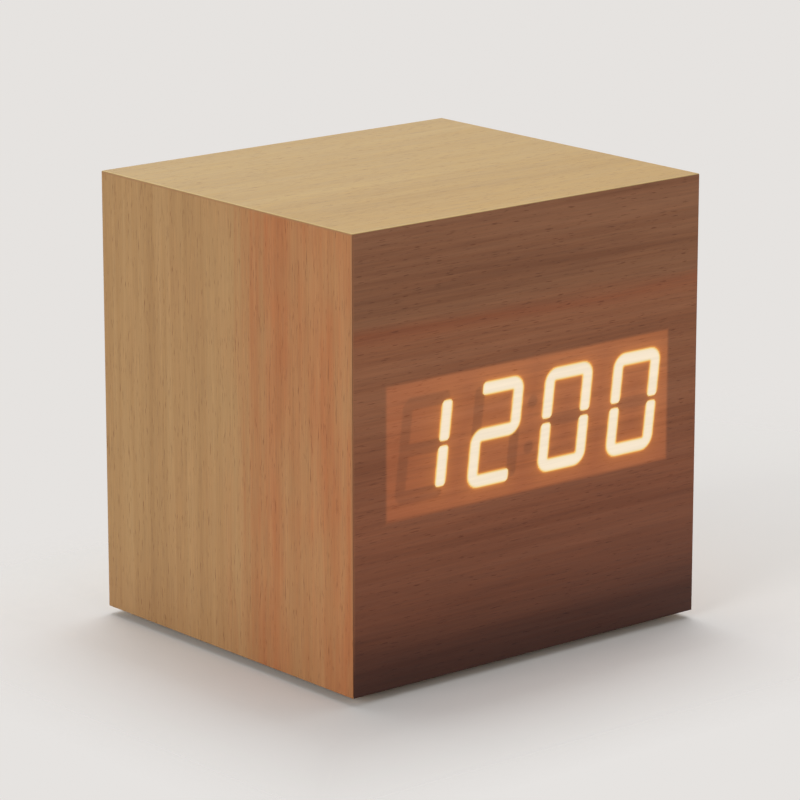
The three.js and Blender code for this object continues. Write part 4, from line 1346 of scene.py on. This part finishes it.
def floor_clearness(tree):
    """How see-through the floor is: clear to the camera round the clock's near shadow, and from below."""
    spot = object_place(tree)
    away = add_node(tree, "ShaderNodeVectorMath", {0: spot}, operation="LENGTH").outputs["Value"]
    place = add_node(tree, "ShaderNodeSeparateXYZ", {0: spot}).outputs
    left = map_range(tree, place["X"], *CLEAR_LEFT)
    ends = map_range(tree, math_node(tree, "ABSOLUTE", place["Y"], 0.0), *CLEAR_ENDS)
    clear = math_node(tree, "MAXIMUM", left, ends, map_range(tree, away, *CLEAR_ROUND))
    seen = add_node(tree, "ShaderNodeLightPath", {}).outputs["Is Camera Ray"]
    below = add_node(tree, "ShaderNodeNewGeometry", {}).outputs["Backfacing"]
    fade = map_range(tree, away, *FADE_ROUND)
    return math_node(tree, "MAXIMUM", product(tree, clear, seen), fade, below)


def add_floor():
    """A pale floor that keeps the clock's shadow and fades into the background."""
    mesh = bpy.data.meshes.new("floor")
    mesh.from_pydata([(x * FLOOR_HALF, y * FLOOR_HALF, 0.0) for x, y in SQUARE], [], [range(4)])
    material, tree, inputs = new_material("floor_paper")
    mottle = even_noise(tree, 30.0, 3.0)
    base = mix_colour(tree, mottle, (0.74, 0.725, 0.71), (0.77, 0.755, 0.74))
    fill(tree, inputs, {"Base Color": base, "Roughness": 0.9, "Specular IOR Level": 0.2})
    paper = tree.nodes["Principled BSDF"].outputs[0]
    clear = add_node(tree, "ShaderNodeBsdfTransparent", {}).outputs[0]
    mixed = add_node(tree, "ShaderNodeMixShader", {0: floor_clearness(tree), 1: paper, 2: clear}).outputs[0]
    fill(tree, tree.nodes["Material Output"].inputs, {"Surface": mixed})
    mesh.materials.append(material)
    floor = bpy.data.objects.new("floor", mesh)
    bpy.context.scene.collection.objects.link(floor)


def add_world():
    """Soft light from all round, in front of a pale background."""
    world = bpy.data.worlds.new("studio")
    world.use_nodes = True
    tree = world.node_tree
    tree.nodes.clear()
    path = add_node(tree, "ShaderNodeLightPath", {}).outputs
    rays = [path[f"Is {kind} Ray"] for kind in ("Camera", "Transmission", "Glossy")]
    seen = math_node(tree, "MAXIMUM", *rays)
    values = {"Color": LIGHT_COLOUR, "Strength": LIGHT_STRENGTH}
    light = add_node(tree, "ShaderNodeBackground", values).outputs[0]
    back = add_node(tree, "ShaderNodeBackground", {"Color": BACKGROUND, "Strength": 1.0}).outputs[0]
    mixed = add_node(tree, "ShaderNodeMixShader", {0: seen, 1: light, 2: back}).outputs[0]
    add_node(tree, "ShaderNodeOutputWorld", {"Surface": mixed})
    bpy.context.scene.world = world


def add_lamps():
    """Soft boxes that look at the clock: the strongest above and behind it, lower ones on all sides."""
    for name, place, size, power in LAMPS:
        lamp = bpy.data.lights.new(name, "AREA")
        lamp.shape = "RECTANGLE"
        lamp.size, lamp.size_y = size
        lamp.energy = power
        made = bpy.data.objects.new(name, lamp)
        made.location = place
        made.rotation_euler = facing(LAMP_TARGET - Vector(place))
        made.visible_camera = False
        bpy.context.scene.collection.objects.link(made)


def add_camera():
    """A camera at the photograph's angle and perspective."""
    camera = bpy.data.cameras.new("camera")
    camera.lens = CAMERA_LENS
    camera.clip_start = CAMERA_NEAR
    made = bpy.data.objects.new("camera", camera)
    bpy.context.scene.collection.objects.link(made)
    towards = Vector((
        math.sin(AZIMUTH) * math.cos(ELEVATION),
        -math.cos(AZIMUTH) * math.cos(ELEVATION),
        math.sin(ELEVATION),
    ))
    target = Vector((0.0, 0.0, (case_low.z + case_high.z) / 2 * MM - CAMERA_DROP))
    made.location = target + towards * CAMERA_DISTANCE
    made.rotation_euler = facing(-towards)
    bpy.context.scene.camera = made


add_front()
add_sides()
add_top()
add_digits()
add_back()
add_buttons()
add_socket()
add_socket_pin()
add_back_screws()
add_feet()
add_tray_screws()
add_cells()
soften_cad_edges()
add_floor()
add_world()
add_lamps()
add_camera()
bpy.context.scene.view_settings.view_transform = "Standard"
